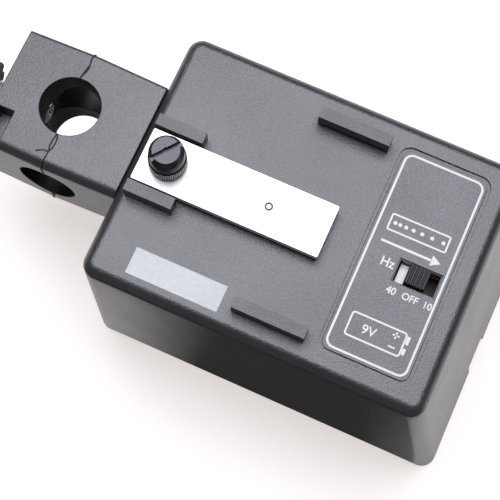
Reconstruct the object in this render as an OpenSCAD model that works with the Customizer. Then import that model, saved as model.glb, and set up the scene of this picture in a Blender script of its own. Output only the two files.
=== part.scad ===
// Ticker timer: a battery-driven tape marker in a moulded case, with a clamp
// block for a laboratory support rod. Millimetres, +Z up, +X towards the
// switch end, +Y across the case in the direction the paper tape runs.
// The origin is the centre of the case's underside.

/* [Case] */
// Length of the case, along X
case_l = 100; // [92:1:120]
// How far the switch end's foot stands out beyond its top edge
end_slope = 11; // [0:0.5:13]
// Width of the case top, along Y
case_w = 68; // [66:1:84]
// Height of the case
case_h = 60; // [58:1:76]
// Thickness of the side walls
wall_t = 2.4; // [1.8:0.1:3]
// Thickness of the top wall
top_t = 2.6; // [2:0.1:3.4]
// Radius of the case's upright corners
corner_r = 4; // [4:0.5:8]
// Radius of the rounded edge round the case top
edge_r = 3; // [1.5:0.5:3.5]
// Mould draft of the side walls, in degrees
draft = 1; // [0:0.25:2]

/* [Bottom cover] */
// Thickness of the bottom cover
cover_t = 2.4; // [2:0.1:3.4]
// Gap between the cover's edge and the case walls
cover_gap = 0.3; // [0.2:0.05:0.5]
// Width of the snap tab and its notch in the end wall
latch_w = 10.5; // [8:0.5:14]
// Height of the snap tab's notch
latch_h = 5; // [3:0.5:6]

/* [Tape guides] */
// Width of paper tape that the bridges let through
tape_w = 15.8; // [12.6:0.1:17]
// Headroom for the tape under a bridge
tape_room = 1.2; // [0.8:0.1:2]
// Height of the bridges and cheeks above the case top
guide_h = 5; // [4.4:0.2:7]
// Thickness of the bridges and cheeks
guide_t = 3; // [2.4:0.2:4]
// Distance between the two bridges, centre to centre
bridge_span = 52.3; // [48:0.5:56]
// Length of the cheeks beside the anvil plate
cheek_l = 12.7; // [10:0.5:16]

/* [Anvil plate] */
// Length of the anvil plate
plate_l = 49.5; // [46:0.5:54]
// Width of the anvil plate
plate_w = 14; // [11:0.5:16]
// Thickness of the anvil plate
plate_t = 2; // [1.2:0.1:2.6]
// Gap under the anvil plate for tape and carbon disc
plate_lift = 1.8; // [1.7:0.1:2.6]
// Diameter of the thumb screw's knurled head
thumb_d = 9.5; // [8:0.5:12]
// Height of the thumb screw's head
thumb_h = 9.4; // [7:0.5:12]
// Diameter of the thumb screw's thread
thumb_thread_d = 4; // [3:0.5:5]

/* [Switch] */
// Length of the switch slot in the case top
slot_l = 10.6; // [10:0.2:13]
// Width of the switch slot
slot_w = 5.7; // [5:0.1:7]
// Length of the switch knob along its travel
switch_knob_l = 5.4; // [4:0.2:6]
// Travel of the switch knob to each side of OFF
switch_travel = 2.3; // [1.8:0.1:2.4]
// Width of the label panel, along X
label_l = 22.4; // [20:0.2:26]
// Length of the label panel, along Y
label_w = 54.4; // [48:0.2:58]

/* [Striker] */
// Diameter of the striker pin
striker_d = 2; // [1.5:0.1:2.5]
// Distance from the armature's axle to the striker
striker_arm = 13.7; // [12:0.1:15]
// Distance from the armature's axle to the magnet core
core_arm = 12; // [11.5:0.1:13]
// Diameter of the magnet core
core_d = 8; // [6:0.5:9]
// Outer diameter of the coil winding
coil_d = 18; // [14:0.5:18.4]
// Diameter of the armature's axle
axle_d = 3; // [2:0.5:3.4]
// Thickness of the armature
armature_t = 1.5; // [1:0.1:1.8]
// Width of the armature
armature_w = 10; // [8:0.5:12]
// Angle the armature turns through to strike, in degrees
strike_angle = 7; // [4:0.5:7]

/* [Battery and board] */
// Length of the block battery
battery_l = 48.5; // [46:0.1:49]
// Width of the block battery
battery_w = 26.5; // [25:0.1:27]
// Thickness of the block battery
battery_t = 17.5; // [16.5:0.1:18]
// Length of the circuit board, along Y
board_l = 56; // [50:1:60]
// Width of the circuit board, along X
board_w = 32; // [28:1:33]
// Thickness of the circuit board
board_t = 1.6; // [1:0.2:2]

/* [Rod clamp] */
// Length of the clamp block, away from the case
clamp_l = 38.5; // [36:0.5:44]
// Width of the clamp block
clamp_w = 32.6; // [30:0.5:36]
// Height of the clamp block
clamp_h = 27; // [25:0.5:34]
// Diameter of the two crossing rod bores
rod_d = 15.5; // [12:0.1:16]
// Diameter of the clamp screw
clamp_screw_d = 6.35; // [5:0.05:7]
// Diameter of the clamp knob
knob_d = 15; // [13:0.5:24]
// Length of the clamp knob
knob_l = 12; // [9:0.5:16]
// Travel of the clamp screw
clamp_travel = 4; // [2:0.1:4.2]

/* [Clearances] */
// Running gap round a shaft
running_gap = 0.06; // [0.03:0.01:0.1]
// Gap round pieces that move past each other
moving_gap = 0.3; // [0.25:0.05:0.5]
// Gap round a piece that is laid in a seat
seat_gap = 0.15; // [0.1:0.05:0.3]

/* [Hidden] */
$fn = 48;
HULL_FN = 48;
eps = 0.01;
black = "#2b2a2c";
metal = "#c9cbcd";

top_in = case_h - top_t;
function half_l(z) = case_l / 2 + (case_h - z) * tan(draft);
function half_w(z) = case_w / 2 + (case_h - z) * tan(draft);
// The switch end's wall leans in more than the others
function end_x(z) = half_l(0) - end_slope * z / (case_h - edge_r);
end_top_x = end_x(case_h - edge_r);

// Tape, anvil plate and thumb screw
mech_y = -1.6;
bridge_l = tape_w + 3;
bridge_y0 = -0.55;
plate_x0 = -case_l / 2 + 2.6;
plate_past_striker = 4.4;
tape_x = plate_x0 + plate_l - plate_past_striker;
plate_z = case_h + plate_lift;
plate_top = plate_z + plate_t;
plate_r = 0.4;
cheek_gap = 0.7;
thumb_x = plate_x0 + 7;
thumb_shaft_l = 12;
insert_d = thumb_thread_d + 2.4;
insert_l = 5.6;
insert_boss_d = insert_d + 3.6;
insert_boss_l = insert_l + 1.2;
insert_flange_t = 0.8;
disc_pin_x = tape_x - 11.3;
disc_pin_d = 1.6;

// Label and switch
label_margin = 6.8;
label_x = end_top_x - label_margin - label_l / 2;
label_t = 0.5;
label_recess = 0.6;
label_r = 2.2;
label_gap = 0.9;
switch_x = label_x + 3.85;
switch_y = -2.35;
switch_boss_x = 9.6;
switch_boss_d = 4.4;
switch_screw_d = 2.2;
switch_screw_l = 3.4;
switch_screw_head = [4.2, 1.4];
frame_t = 0.8;
frame_z = top_in - 2.8;
frame_l = 2 * switch_boss_x + switch_boss_d;
frame_w = 11;
housing_l = 14.4;
housing_w = 9.6;
housing_h = 7.6;
terminal_h = 4;
slider_t = 1.3;
slider_z = frame_z + frame_t + seat_gap;
slider_left = switch_boss_x - switch_boss_d / 2 - switch_travel - moving_gap;
window_l = 13;
knob_w = slot_w - 2 * moving_gap;
knob_top = case_h + 1.4;

// Striker mechanism
axle_x = tape_x - striker_arm;
axle_z = top_in - 5.4;
barrel_r = axle_d / 2 + 1.1;
arm_z = axle_z + barrel_r - armature_t;
arm_tail = core_arm + 6;
core_x = axle_x - core_arm;
core_sweep = (core_arm + core_d / 2) * sin(strike_angle);
core_top = axle_z + (arm_z - axle_z) * cos(strike_angle) - core_sweep - moving_gap;
yoke_t = 2;
yoke_z = 25;
yoke_top = yoke_z + yoke_t;
yoke_w = 16;
yoke_left = core_x - 15;
yoke_right = tape_x + 0.5;
arm_strip_w = 8;
ear_t = 1.6;
ear_y = armature_w / 2 + 2;
ear_w = 7.6;
post_d = 7;
post_y = 22;
post_x = [yoke_left + 4, axle_x + 3];
yoke_screw_d = 3;
yoke_screw_l = 10;
yoke_screw_head = [5.6, 2];
flange_t = 1.2;
flange_d = coil_d + 1.4;
bobbin_top = min(core_top - 0.7, top_in - insert_boss_l - insert_flange_t - moving_gap);
tube_wall = 0.9;
spring_x = axle_x + 8;
spring_r = 2.2;
spring_wire = 0.6;
spring_turns = 14;
striker_tip = case_h - 0.1;
striker_shift = (striker_tip - axle_z) * sin(strike_angle);
striker_hole_d = striker_d + striker_shift + 2 * moving_gap;
buffer_d = 5;

// Bottom cover: its lugs, snap tab and the ribs on the walls that it closes against
latch_y = 0.4;
lug_w = 8;
lug_y = [-18, 18];
stop_w = 6;
stop_h = 4;
stop_reach = 2;
stop_y = case_w / 2 - 6;

// Battery
battery_margin = 0.5;
battery_y = 2;
battery_gap = 0.4;
pad_t = 1;
battery_z = cover_t + pad_t;
battery_x = end_x(battery_z + battery_t) - wall_t - battery_margin - battery_w / 2;
terminal_l = 2.9;
snap_t = 2.2;
snap_w = 12.6;
part_gap = 0.2;
lead_d = 1.4;

// Circuit board, halfway between the battery below and the switch above
chip_size = [6.4, 9.8, 3.3];
big_capacitor = [8, 10.5];
small_capacitor = [6.3, 8.5];
transistor_size = [4.8, 5];
trimmer_size = [6.6, 7, 4.4];
trimmer_dial_d = 3.6;
resistor_size = [2.3, 6.8];
lead_room = 2.6;
switch_lead_z = frame_z - housing_h - terminal_h - part_gap;
board_lowest = battery_z + battery_t + big_capacitor[1] + part_gap + moving_gap;
board_highest = switch_lead_z - lead_room - part_gap - board_t;
board_z = (board_lowest + board_highest) / 2;
board_top = board_z + board_t;
board_margin = 1.2;
board_x = end_x(board_top) - wall_t - board_margin - board_w / 2;
board_post_d = 6;
board_post = [board_w / 2 - 4, board_l / 2 - 4];
board_screw_d = 2.5;
board_screw_l = 8;
board_screw_head = [5, 1.8];

// Rod clamp
clamp_x0 = -case_l / 2 - clamp_l;
clamp_top = case_h - 1;
clamp_z0 = clamp_top - clamp_h;
clamp_y = 2.4;
rod_x = -case_l / 2 - 20.2;
rod_y = clamp_y + 1;
rod_z = clamp_z0 + clamp_h / 2;
clamp_draft = 1.25;
clamp_edge_r = 2.5;
clamp_back_r = 1;
block_screw_d = 3;
block_screw_in = 9;
block_screw_l = wall_t + 7;
block_screw_head = [5.6, 2];
block_screw_at = [clamp_w / 2 - 4.2, clamp_h / 2 - 5];
nut_t = 3.9;
nut_l = 18;
nut_h = 12.4;
nut_x = clamp_x0 + 2;
notch_w = 10.4;
notch_h = 5.5;
pad_d = clamp_screw_d + 0.05;
pad_l = 3;
spigot_d = 3;
spigot_l = 1.2;
pad_hole_d = pad_d + 2 * moving_gap;
pad_face = rod_x - rod_d / 2 - 0.1;
knob_room = 2;
knob_x = clamp_x0 - clamp_travel - knob_room;

// ---- shared shapes ----

module rounded_rect(l, w, r) {
    square([l - 2 * r, w], center = true);
    square([l, w - 2 * r], center = true);
    for (sx = [-1, 1], sy = [-1, 1])
        translate([sx * (l / 2 - r), sy * (w / 2 - r)]) circle(r);
}

module rounded_plate(l, w, t, r) {
    linear_extrude(t) rounded_rect(l, w, r);
}

// A box of the given size standing on its centre
module block(size) {
    translate([-size[0] / 2, -size[1] / 2, 0]) cube(size);
}

module ring(outer_d, inner_d, h) {
    difference() {
        cylinder(h = h, d = outer_d);
        translate([0, 0, -1]) cylinder(h = h + 2, d = inner_d);
    }
}

// A pan-head screw pointing up, with its head's bearing face at z = 0
module pan_screw(d, l, head_d, head_h) {
    difference() {
        union() {
            cylinder(h = l, d = d);
            translate([0, 0, -head_h]) rotate_extrude() {
                square([head_d / 2 - 0.6, head_h]);
                translate([0, 0.6]) square([head_d / 2, head_h - 0.6]);
                intersection() {
                    translate([head_d / 2 - 0.6, 0.6]) circle(0.6);
                    square([head_d, head_h]);
                }
            }
        }
        translate([0, 0, -head_h - eps]) {
            block([head_d * 0.6, d * 0.28, head_h * 0.5]);
            block([d * 0.28, head_d * 0.6, head_h * 0.5]);
        }
    }
}

// The draughted body of the case: outer form at inset 0, cavity at wall_t
module case_form(inset, z0, z1, edge) {
    r = corner_r - inset;
    foot_x = [-half_l(z0) + inset + r, end_x(z0) - inset - r];
    top_x = [-half_l(z1) + inset + r, end_x(z1 - edge) - inset - r];
    hull() for (i = [0, 1], sy = [-1, 1]) {
        translate([foot_x[i], sy * (half_w(z0) - inset - r), z0])
            cylinder(h = eps, r = r, $fn = HULL_FN);
        translate([top_x[i], sy * (half_w(z1) - inset - r), z1 - edge])
            rotate_extrude($fn = HULL_FN) {
                square([r - edge, edge]);
                translate([r - edge, 0]) intersection() {
                    circle(edge, $fn = HULL_FN);
                    square(edge);
                }
            }
    }
}

// A tube swept along hand-chosen points, as one closed polyhedron
function unit(v) = v / norm(v);
function along(p, i) = i == 0 ? unit(p[1] - p[0])
    : i == len(p) - 1 ? unit(p[i] - p[i - 1])
    : unit(unit(p[i] - p[i - 1]) + unit(p[i + 1] - p[i]));
function side_of(t, s) = unit(s - t * (s * t));
function sides(p, i, s) = let (n = side_of(along(p, i), s))
    i == len(p) - 1 ? [n] : concat([n], sides(p, i + 1, n));
module tube(points, d, start, steps = 8) {
    n = len(points);
    s = sides(points, 0, start);
    rings = [for (i = [0:n - 1]) for (k = [0:steps - 1])
        let (t = along(points, i), a = 360 * k / steps)
        points[i] + d / 2 * (s[i] * cos(a) + cross(t, s[i]) * sin(a))];
    walls = [for (i = [0:n - 2]) for (k = [0:steps - 1])
        let (a = i * steps + k, b = i * steps + (k + 1) % steps)
        each [[a, a + steps, b], [b, a + steps, b + steps]]];
    ends = [for (k = [1:steps - 2])
        each [[0, k, k + 1], [(n - 1) * steps, (n - 1) * steps + k + 1, (n - 1) * steps + k]]];
    polyhedron(points = rings, faces = concat(walls, ends), convexity = 6);
}

// ---- case ----

module bridge() {
    difference() {
        block([bridge_l, guide_t, guide_h]);
        translate([0, 0, -eps]) block([tape_w + 0.6, guide_t + 2, tape_room + eps]);
    }
}

module cheek() {
    translate([0, 0, -1]) cube([cheek_l, guide_t, guide_h + 1]);
}

module case_top_parts() {
    cheek_x = plate_x0 - 0.1;
    cheek_y = plate_w / 2 + cheek_gap;
    for (side = [-1, 1])
        translate([tape_x, bridge_y0 + side * bridge_span / 2, case_h - eps]) bridge();
    translate([cheek_x, mech_y + cheek_y, case_h]) cheek();
    translate([cheek_x, mech_y - cheek_y - guide_t, case_h]) cheek();
    translate([plate_x0, mech_y - plate_w / 2 + 0.4, case_h - 1])
        cube([cheek_l - 0.4, plate_w - 0.8, plate_lift + 1]);
}

module case_bosses() {
    translate([thumb_x, mech_y, top_in - insert_boss_l])
        cylinder(h = insert_boss_l + 1, d = insert_boss_d);
    for (x = post_x, sy = [-1, 1]) translate([x, mech_y + sy * post_y, yoke_top])
        cylinder(h = top_in - yoke_top + 1, d = post_d);
    for (sx = [-1, 1], sy = [-1, 1])
        translate([board_x + sx * board_post[0], sy * board_post[1], board_top])
            cylinder(h = top_in - board_top + 1, d = board_post_d);
    for (sx = [-1, 1])
        translate([switch_x + sx * switch_boss_x, switch_y, frame_z + frame_t])
            cylinder(h = top_in - frame_z - frame_t + 1, d = switch_boss_d);
}

module case_holes() {
    translate([thumb_x, mech_y, top_in - 1])
        cylinder(h = top_t + plate_lift + 2, d = thumb_thread_d + 2 * moving_gap);
    translate([thumb_x, mech_y, top_in - insert_boss_l - 1])
        cylinder(h = insert_l + 1, d = insert_d);
    translate([thumb_x, mech_y, top_in - insert_boss_l - 1])
        cylinder(h = insert_boss_l + 3, d = thumb_thread_d + 2 * moving_gap);
    translate([tape_x - striker_shift / 2, mech_y, top_in - 1])
        cylinder(h = top_t + 2, d = striker_hole_d);
    for (x = post_x, sy = [-1, 1]) translate([x, mech_y + sy * post_y, yoke_top - 1])
        cylinder(h = 10, d = yoke_screw_d);
    for (sx = [-1, 1], sy = [-1, 1])
        translate([board_x + sx * board_post[0], sy * board_post[1], board_top - 1])
            cylinder(h = 9, d = board_screw_d);
    for (sx = [-1, 1])
        translate([switch_x + sx * switch_boss_x, switch_y, frame_z + frame_t - 1])
            cylinder(h = 4, d = switch_screw_d);
    translate([switch_x, switch_y, top_in - 1]) block([slot_l, slot_w, top_t + 2]);
    translate([label_x, 0, case_h - label_recess])
        rounded_plate(label_l + 2 * label_gap, label_w + 2 * label_gap, 2, label_r + label_gap);
    translate([end_x(latch_h) - wall_t - 1, latch_y - latch_w / 2, -1])
        cube([wall_t + 4, latch_w, latch_h + 1]);
    for (y = lug_y) translate([-half_l(0) + 1, y - lug_w / 2 - cover_gap, -1])
        cube([wall_t, lug_w + 2 * cover_gap, cover_t + 1.2]);
    for (y = [-1, 1], z = [-1, 1])
        translate([-half_l(0) - 1, clamp_y + y * block_screw_at[0], rod_z + z * block_screw_at[1]])
            rotate([0, 90, 0]) cylinder(h = wall_t + 4, d = block_screw_d);
}

// Ribs on the walls that the bottom cover closes against
module cover_stops() {
    end = half_l(cover_t) - wall_t;
    y = half_w(cover_t) - wall_t;
    for (x = [-end, end_x(cover_t) - wall_t], sy = [-1, 1]) translate([x, sy * stop_y, cover_t])
        block([2 * stop_reach, stop_w, stop_h]);
    for (x = [-0.5 * end, 0.24 * end], sy = [-1, 1]) translate([x, sy * y, cover_t])
        block([stop_w, 2 * stop_reach, stop_h]);
}

module case_shell() {
    color(black) difference() {
        union() {
            difference() {
                case_form(0, 0, case_h, edge_r);
                case_form(wall_t, -1, top_in, max(0.8, edge_r - wall_t));
            }
            case_top_parts();
            case_bosses();
            intersection() {
                cover_stops();
                case_form(wall_t / 2, 0, case_h - wall_t / 2, edge_r - wall_t / 2);
            }
        }
        case_holes();
    }
}

module bottom_cover() {
    x0 = -half_l(cover_t) + wall_t + cover_gap;
    x1 = end_x(cover_t) - wall_t - cover_gap;
    w = 2 * (half_w(cover_t) - wall_t - cover_gap);
    rib_t = 1.6;
    rib_h = 8;
    rib_l = 2 * (stop_y - stop_w / 2 - battery_y - 0.75);
    tab_l = end_x(latch_h) - 0.6 - x1;
    color(black) {
        translate([(x0 + x1) / 2, 0, 0]) rounded_plate(x1 - x0, w, cover_t, corner_r - wall_t);
        for (side = [-1, 1])
            translate([battery_x + side * (battery_w / 2 + battery_gap + rib_t / 2), battery_y, cover_t - eps])
                block([rib_t, rib_l, rib_h]);
        translate([battery_x, battery_y + battery_l / 2 + battery_gap + rib_t / 2, cover_t - eps])
            block([battery_w - 4, rib_t, rib_h]);
        translate([x1 - 1, latch_y - latch_w / 2 + cover_gap, 0])
            cube([tab_l + 1, latch_w - 2 * cover_gap, latch_h - cover_gap]);
        for (y = lug_y)
            translate([x0 - 1.1, y - lug_w / 2, 0.6]) cube([2.1, lug_w, cover_t - 0.8]);
        for (k = [0:2]) translate([x0 + 12.3 + 18 * k, 0, cover_t - eps]) block([1.4, w - 16, 2]);
    }
}

module label_plate() {
    color("#1d1c1e") translate([label_x, 0, case_h - label_recess]) difference() {
        rounded_plate(label_l, label_w, label_t, label_r);
        translate([switch_x - label_x, switch_y, -1]) block([slot_l + 0.4, slot_w + 0.4, 3]);
    }
}

// ---- anvil plate and thumb screw ----

module anvil_plate() {
    color("#f1f1f0") translate([plate_x0, mech_y, plate_z]) difference() {
        translate([plate_l / 2, 0, 0]) rounded_plate(plate_l, plate_w, plate_t, plate_r);
        translate([thumb_x - plate_x0, 0, -1])
            cylinder(h = plate_t + 2, d = thumb_thread_d + 2 * moving_gap);
        translate([disc_pin_x - plate_x0, 0, -1]) cylinder(h = plate_t + 2, d = disc_pin_d);
    }
}

// Rivet that a carbon paper disc turns on, under the anvil plate
module disc_pin() {
    color(metal) translate([disc_pin_x, mech_y, plate_z - plate_lift + 0.4]) difference() {
        union() {
            cylinder(h = plate_lift - 0.4 + plate_t, d = disc_pin_d);
            translate([0, 0, plate_lift - 0.4 + plate_t]) cylinder(h = 0.3, d = disc_pin_d + 1);
        }
        translate([0, 0, plate_lift - 0.4 + plate_t - 0.3]) cylinder(h = 1, d = disc_pin_d - 0.5);
    }
}

module thumb_screw() {
    knurl_n = 32;
    knurl_r = 0.42;
    knurl_h = thumb_h * 0.62;
    slot_turn = 52;
    color(metal) translate([thumb_x, mech_y, plate_top + seat_gap]) difference() {
        union() {
            cylinder(h = thumb_h - 0.7, d = thumb_d - 0.6);
            translate([0, 0, thumb_h - 0.7]) cylinder(h = 0.7, d1 = thumb_d - 0.6, d2 = thumb_d - 2);
            translate([0, 0, knurl_h]) cylinder(h = 0.8, d1 = thumb_d, d2 = thumb_d - 0.6);
            for (k = [0:knurl_n - 1]) rotate(360 * k / knurl_n)
                translate([thumb_d / 2 - knurl_r, 0, 0.5])
                    cylinder(h = knurl_h - 0.5, r = knurl_r, $fn = 16);
            translate([0, 0, -thumb_shaft_l]) cylinder(h = thumb_shaft_l + 1, d = thumb_thread_d);
        }
        translate([0, 0, thumb_h - 1.6]) rotate(slot_turn) block([thumb_d + 1, 1.2, 3]);
    }
}

module threaded_insert() {
    color("#c8a24a") translate([thumb_x, mech_y, top_in - insert_boss_l]) difference() {
        union() {
            cylinder(h = insert_l, d = insert_d);
            translate([0, 0, -insert_flange_t]) cylinder(h = insert_flange_t, d = insert_d + 1.6);
        }
        translate([0, 0, -2]) cylinder(h = insert_l + 4, d = thumb_thread_d + 2 * running_gap);
    }
}

// ---- slide switch ----

module switch_frame() {
    color(metal) translate([switch_x, switch_y, frame_z]) difference() {
        rounded_plate(frame_l, frame_w, frame_t, 2);
        translate([0, 0, -1]) block([window_l, slot_w + 0.4, frame_t + 2]);
        for (sx = [-1, 1]) translate([sx * switch_boss_x, 0, -1])
            cylinder(h = frame_t + 2, d = switch_screw_d + 0.3);
    }
}

module switch_housing() {
    track_l = window_l;
    color("#3a2c20") translate([switch_x, switch_y, frame_z - housing_h]) difference() {
        block([housing_l, housing_w, housing_h]);
        translate([0, 0, housing_h - 3]) block([track_l, slot_w + 0.4, 4]);
        for (side = [-1, 1]) translate([0, side * housing_w / 2, 2]) block([housing_l + 1, 0.8, 2]);
    }
}

module switch_terminals() {
    color("#d8c27a") for (i = [-1.5:1:1.5], side = [-1, 1])
        translate([switch_x + i * 4, switch_y + side * 2.6, frame_z - housing_h - terminal_h])
            difference() {
                block([1.6, 0.5, terminal_h]);
                translate([0, 1, 1]) rotate([90, 0, 0]) cylinder(h = 2, d = 0.7);
            }
}

module switch_slider() {
    stem_l = window_l - 2 * switch_travel - 2 * moving_gap;
    color("#ecebe6") translate([switch_x, switch_y, slider_z]) {
        translate([-slider_left, -slot_w / 2 + 0.1, 0])
            cube([slider_left + switch_knob_l / 2, slot_w - 0.2, slider_t]);
        translate([0, 0, -2.4]) block([stem_l, slot_w - 0.4, 2.5]);
    }
}

module switch_knob() {
    rib_n = 5;
    rib_pitch = switch_knob_l / rib_n;
    base_z = slider_z + slider_t;
    color("#171618") translate([switch_x, switch_y, 0]) difference() {
        translate([0, 0, base_z]) block([switch_knob_l, knob_w, knob_top - base_z]);
        for (k = [0:rib_n]) translate([(k - rib_n / 2) * rib_pitch, 0, knob_top - 0.7])
            block([rib_pitch * 0.45, knob_w + 1, 2]);
    }
}

module switch_screws() {
    color(metal) for (sx = [-1, 1])
        translate([switch_x + sx * switch_boss_x, switch_y, frame_z])
            pan_screw(switch_screw_d, switch_screw_l, switch_screw_head[0], switch_screw_head[1]);
}

// ---- striker mechanism ----

module magnet_yoke() {
    color("#b9bcc0") difference() {
        union() {
            translate([(yoke_left + yoke_right) / 2, mech_y, yoke_z])
                rounded_plate(yoke_right - yoke_left, yoke_w, yoke_t, 2);
            for (x = post_x) translate([x, mech_y, yoke_z])
                rounded_plate(arm_strip_w, 2 * post_y + arm_strip_w, yoke_t, 2);
            for (side = [-1, 1])
                translate([axle_x, mech_y + side * (ear_y + ear_t / 2), 0]) {
                    translate([0, 0, yoke_z]) block([ear_w, ear_t, axle_z - yoke_z]);
                    translate([0, ear_t / 2, axle_z]) rotate([90, 0, 0])
                        cylinder(h = ear_t, d = ear_w);
                }
        }
        translate([axle_x, mech_y + 20, axle_z]) rotate([90, 0, 0]) cylinder(h = 40, d = axle_d);
        translate([core_x, mech_y, yoke_z - 1]) cylinder(h = yoke_t + 2, d = core_d - 3);
        translate([spring_x, mech_y, yoke_z - 1]) cylinder(h = yoke_t + 2, d = 1.6);
        for (x = post_x, sy = [-1, 1]) translate([x, mech_y + sy * post_y, yoke_z - 1])
            cylinder(h = yoke_t + 2, d = yoke_screw_d + 0.4);
    }
}

module yoke_screws() {
    color(metal) for (x = post_x, sy = [-1, 1])
        translate([x, mech_y + sy * post_y, yoke_z])
            pan_screw(yoke_screw_d, yoke_screw_l, yoke_screw_head[0], yoke_screw_head[1]);
}

module magnet_core() {
    color("#8d9094") translate([core_x, mech_y, yoke_z - 0.6]) {
        cylinder(h = yoke_t + 1, d = core_d - 3);
        cylinder(h = 0.6, d = core_d - 1.6);
        translate([0, 0, yoke_t + 0.6]) cylinder(h = core_top - yoke_top, d = core_d);
    }
}

module coil_bobbin() {
    color("#e6e0cf") translate([core_x, mech_y, yoke_top]) difference() {
        union() {
            cylinder(h = flange_t, d = flange_d);
            cylinder(h = bobbin_top - yoke_top, d = core_d + 2 * (tube_wall + seat_gap));
            translate([0, 0, bobbin_top - yoke_top - flange_t]) cylinder(h = flange_t, d = flange_d);
        }
        translate([0, 0, -1]) cylinder(h = bobbin_top, d = core_d + 2 * seat_gap);
    }
}

module coil_winding() {
    h = bobbin_top - yoke_top - 2 * flange_t - 2 * seat_gap;
    color("#a8562c") translate([core_x, mech_y, yoke_top + flange_t + seat_gap])
        ring(coil_d, core_d + 2 * (tube_wall + 2 * seat_gap), h);
}

module armature_axle() {
    reach = ear_y + ear_t + 1;
    color(metal) translate([axle_x, mech_y + reach, axle_z]) rotate([90, 0, 0])
        cylinder(h = 2 * reach, d = axle_d);
}

module armature() {
    tip = striker_arm + 3.4;
    barrel_l = 2 * ear_y - 2 * moving_gap;
    color("#a4a7ab") translate([axle_x, mech_y, 0]) difference() {
        union() {
            translate([-arm_tail, -armature_w / 2, arm_z]) cube([arm_tail, armature_w, armature_t]);
            translate([0, -armature_w / 4, arm_z]) cube([tip - armature_w / 4, armature_w / 2, armature_t]);
            translate([tip - armature_w / 4, 0, arm_z]) cylinder(h = armature_t, d = armature_w / 2);
            translate([0, barrel_l / 2, axle_z]) rotate([90, 0, 0])
                cylinder(h = barrel_l, r = barrel_r);
        }
        translate([0, 20, axle_z]) rotate([90, 0, 0]) cylinder(h = 40, d = axle_d + 2 * running_gap);
        translate([striker_arm, 0, arm_z - 1]) cylinder(h = armature_t + 2, d = striker_d);
        translate([spring_x - axle_x, 0, arm_z - 1]) cylinder(h = armature_t + 2, d = 1.4);
    }
}

module striker_pin() {
    color(metal) translate([tape_x, mech_y, 0]) {
        translate([0, 0, arm_z - 0.8]) cylinder(h = striker_tip - 0.5 - arm_z + 0.8, d = striker_d);
        translate([0, 0, striker_tip - 0.5]) cylinder(h = 0.5, d1 = striker_d, d2 = striker_d - 0.8);
        translate([0, 0, arm_z - 0.8]) cylinder(h = 0.8, d = striker_d + 1.6);
    }
}

// Extension spring between the yoke and the armature, one unbroken wire
module return_spring() {
    z0 = yoke_top + seat_gap;
    z1 = arm_z - seat_gap;
    lead = 3;
    body = z1 - z0 - 2 * lead;
    turn_steps = 12;
    n = spring_turns * turn_steps;
    helix = [for (i = [0:n]) let (a = 360 * i / turn_steps)
        [spring_r * cos(a), spring_r * sin(a), lead + body * i / n]];
    path = concat([[0, 0, 0], [0, 0, 1]], helix, [[0, 0, z1 - z0 - 1], [0, 0, z1 - z0]]);
    least_gap = body / spring_turns - spring_wire;
    echo(least_gap = least_gap);
    color("#9fa2a6") translate([spring_x, mech_y, z0]) tube(path, spring_wire, [1, 0, 0], 6);
}

// Rubber stop that the armature's tail comes to rest under
module rest_buffer() {
    z0 = arm_z + armature_t + moving_gap;
    color("#1b1b1b") translate([core_x - 3, mech_y, z0]) cylinder(h = top_in - z0, d = buffer_d);
}

// ---- battery ----

module battery() {
    color("#30343a") translate([battery_x, battery_y - battery_l / 2, battery_z + battery_t / 2])
        rotate([-90, 0, 0]) rounded_plate(battery_w, battery_t, battery_l, 2);
}

module battery_terminals() {
    color(metal) for (side = [-1, 1])
        translate([battery_x + side * 6.35, battery_y - battery_l / 2, battery_z + battery_t / 2])
            rotate([90, 0, 0]) difference() {
                cylinder(h = terminal_l, d = side < 0 ? 5.8 : 8.2, $fn = side < 0 ? $fn : 6);
                translate([0, 0, 1]) cylinder(h = terminal_l, d = side < 0 ? 3 : 5.6);
            }
}

module battery_snap() {
    color("#202022")
        translate([battery_x, battery_y - battery_l / 2 - terminal_l - seat_gap, battery_z + battery_t / 2])
            rotate([90, 0, 0]) rounded_plate(battery_w - 0.5, snap_w, snap_t, 1.5);
}

module battery_pad() {
    color("#4a4c50") translate([battery_x, battery_y, cover_t]) block([battery_w - 6, battery_l - 8, pad_t]);
}

module battery_leads() {
    y0 = battery_y - battery_l / 2 - terminal_l - seat_gap - snap_t / 2;
    z0 = battery_z + battery_t / 2 + snap_w / 2 + part_gap;
    end_z = board_z - part_gap;
    color("#a02020") for (side = [-1, 1]) {
        x = battery_x + side * 3;
        tube([[x, y0, z0], [x, y0, z0 + 2.5], [x, y0 - 0.8, z0 + 5], [x - 1, y0 - 0.8, z0 + 8],
            [x - 2, y0 + 0.6, z0 + 11], [x - 2.5, y0 + 2.6, z0 + 13.4],
            [x - 2.5, y0 + 3.4, end_z - 1.6], [x - 2.5, y0 + 3.4, end_z]], lead_d, [1, 0, 0]);
    }
}

// ---- circuit board ----

module circuit_board() {
    color("#2f6b3c") translate([board_x, 0, board_z]) difference() {
        rounded_plate(board_w, board_l, board_t, 1);
        for (sx = [-1, 1], sy = [-1, 1]) translate([sx * board_post[0], sy * board_post[1], -1])
            cylinder(h = board_t + 2, d = board_screw_d + 0.4);
    }
}

module board_screws() {
    color(metal) for (sx = [-1, 1], sy = [-1, 1])
        translate([board_x + sx * board_post[0], sy * board_post[1], board_z])
            pan_screw(board_screw_d, board_screw_l, board_screw_head[0], board_screw_head[1]);
}

// Places children on the board's underside, hanging down from it
module under_board(x, y) {
    translate([board_x + x, y, board_z]) mirror([0, 0, 1]) children();
}

module timer_chip() {
    color("#26262a") under_board(2, 4) {
        translate([0, 0, 0.5]) block(chip_size);
        for (k = [-1.5:1:1.5], side = [-1, 1])
            translate([side * (chip_size[0] / 2 + 0.3), k * 2.54, 0]) block([0.7, 0.6, 2.4]);
    }
}

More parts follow.
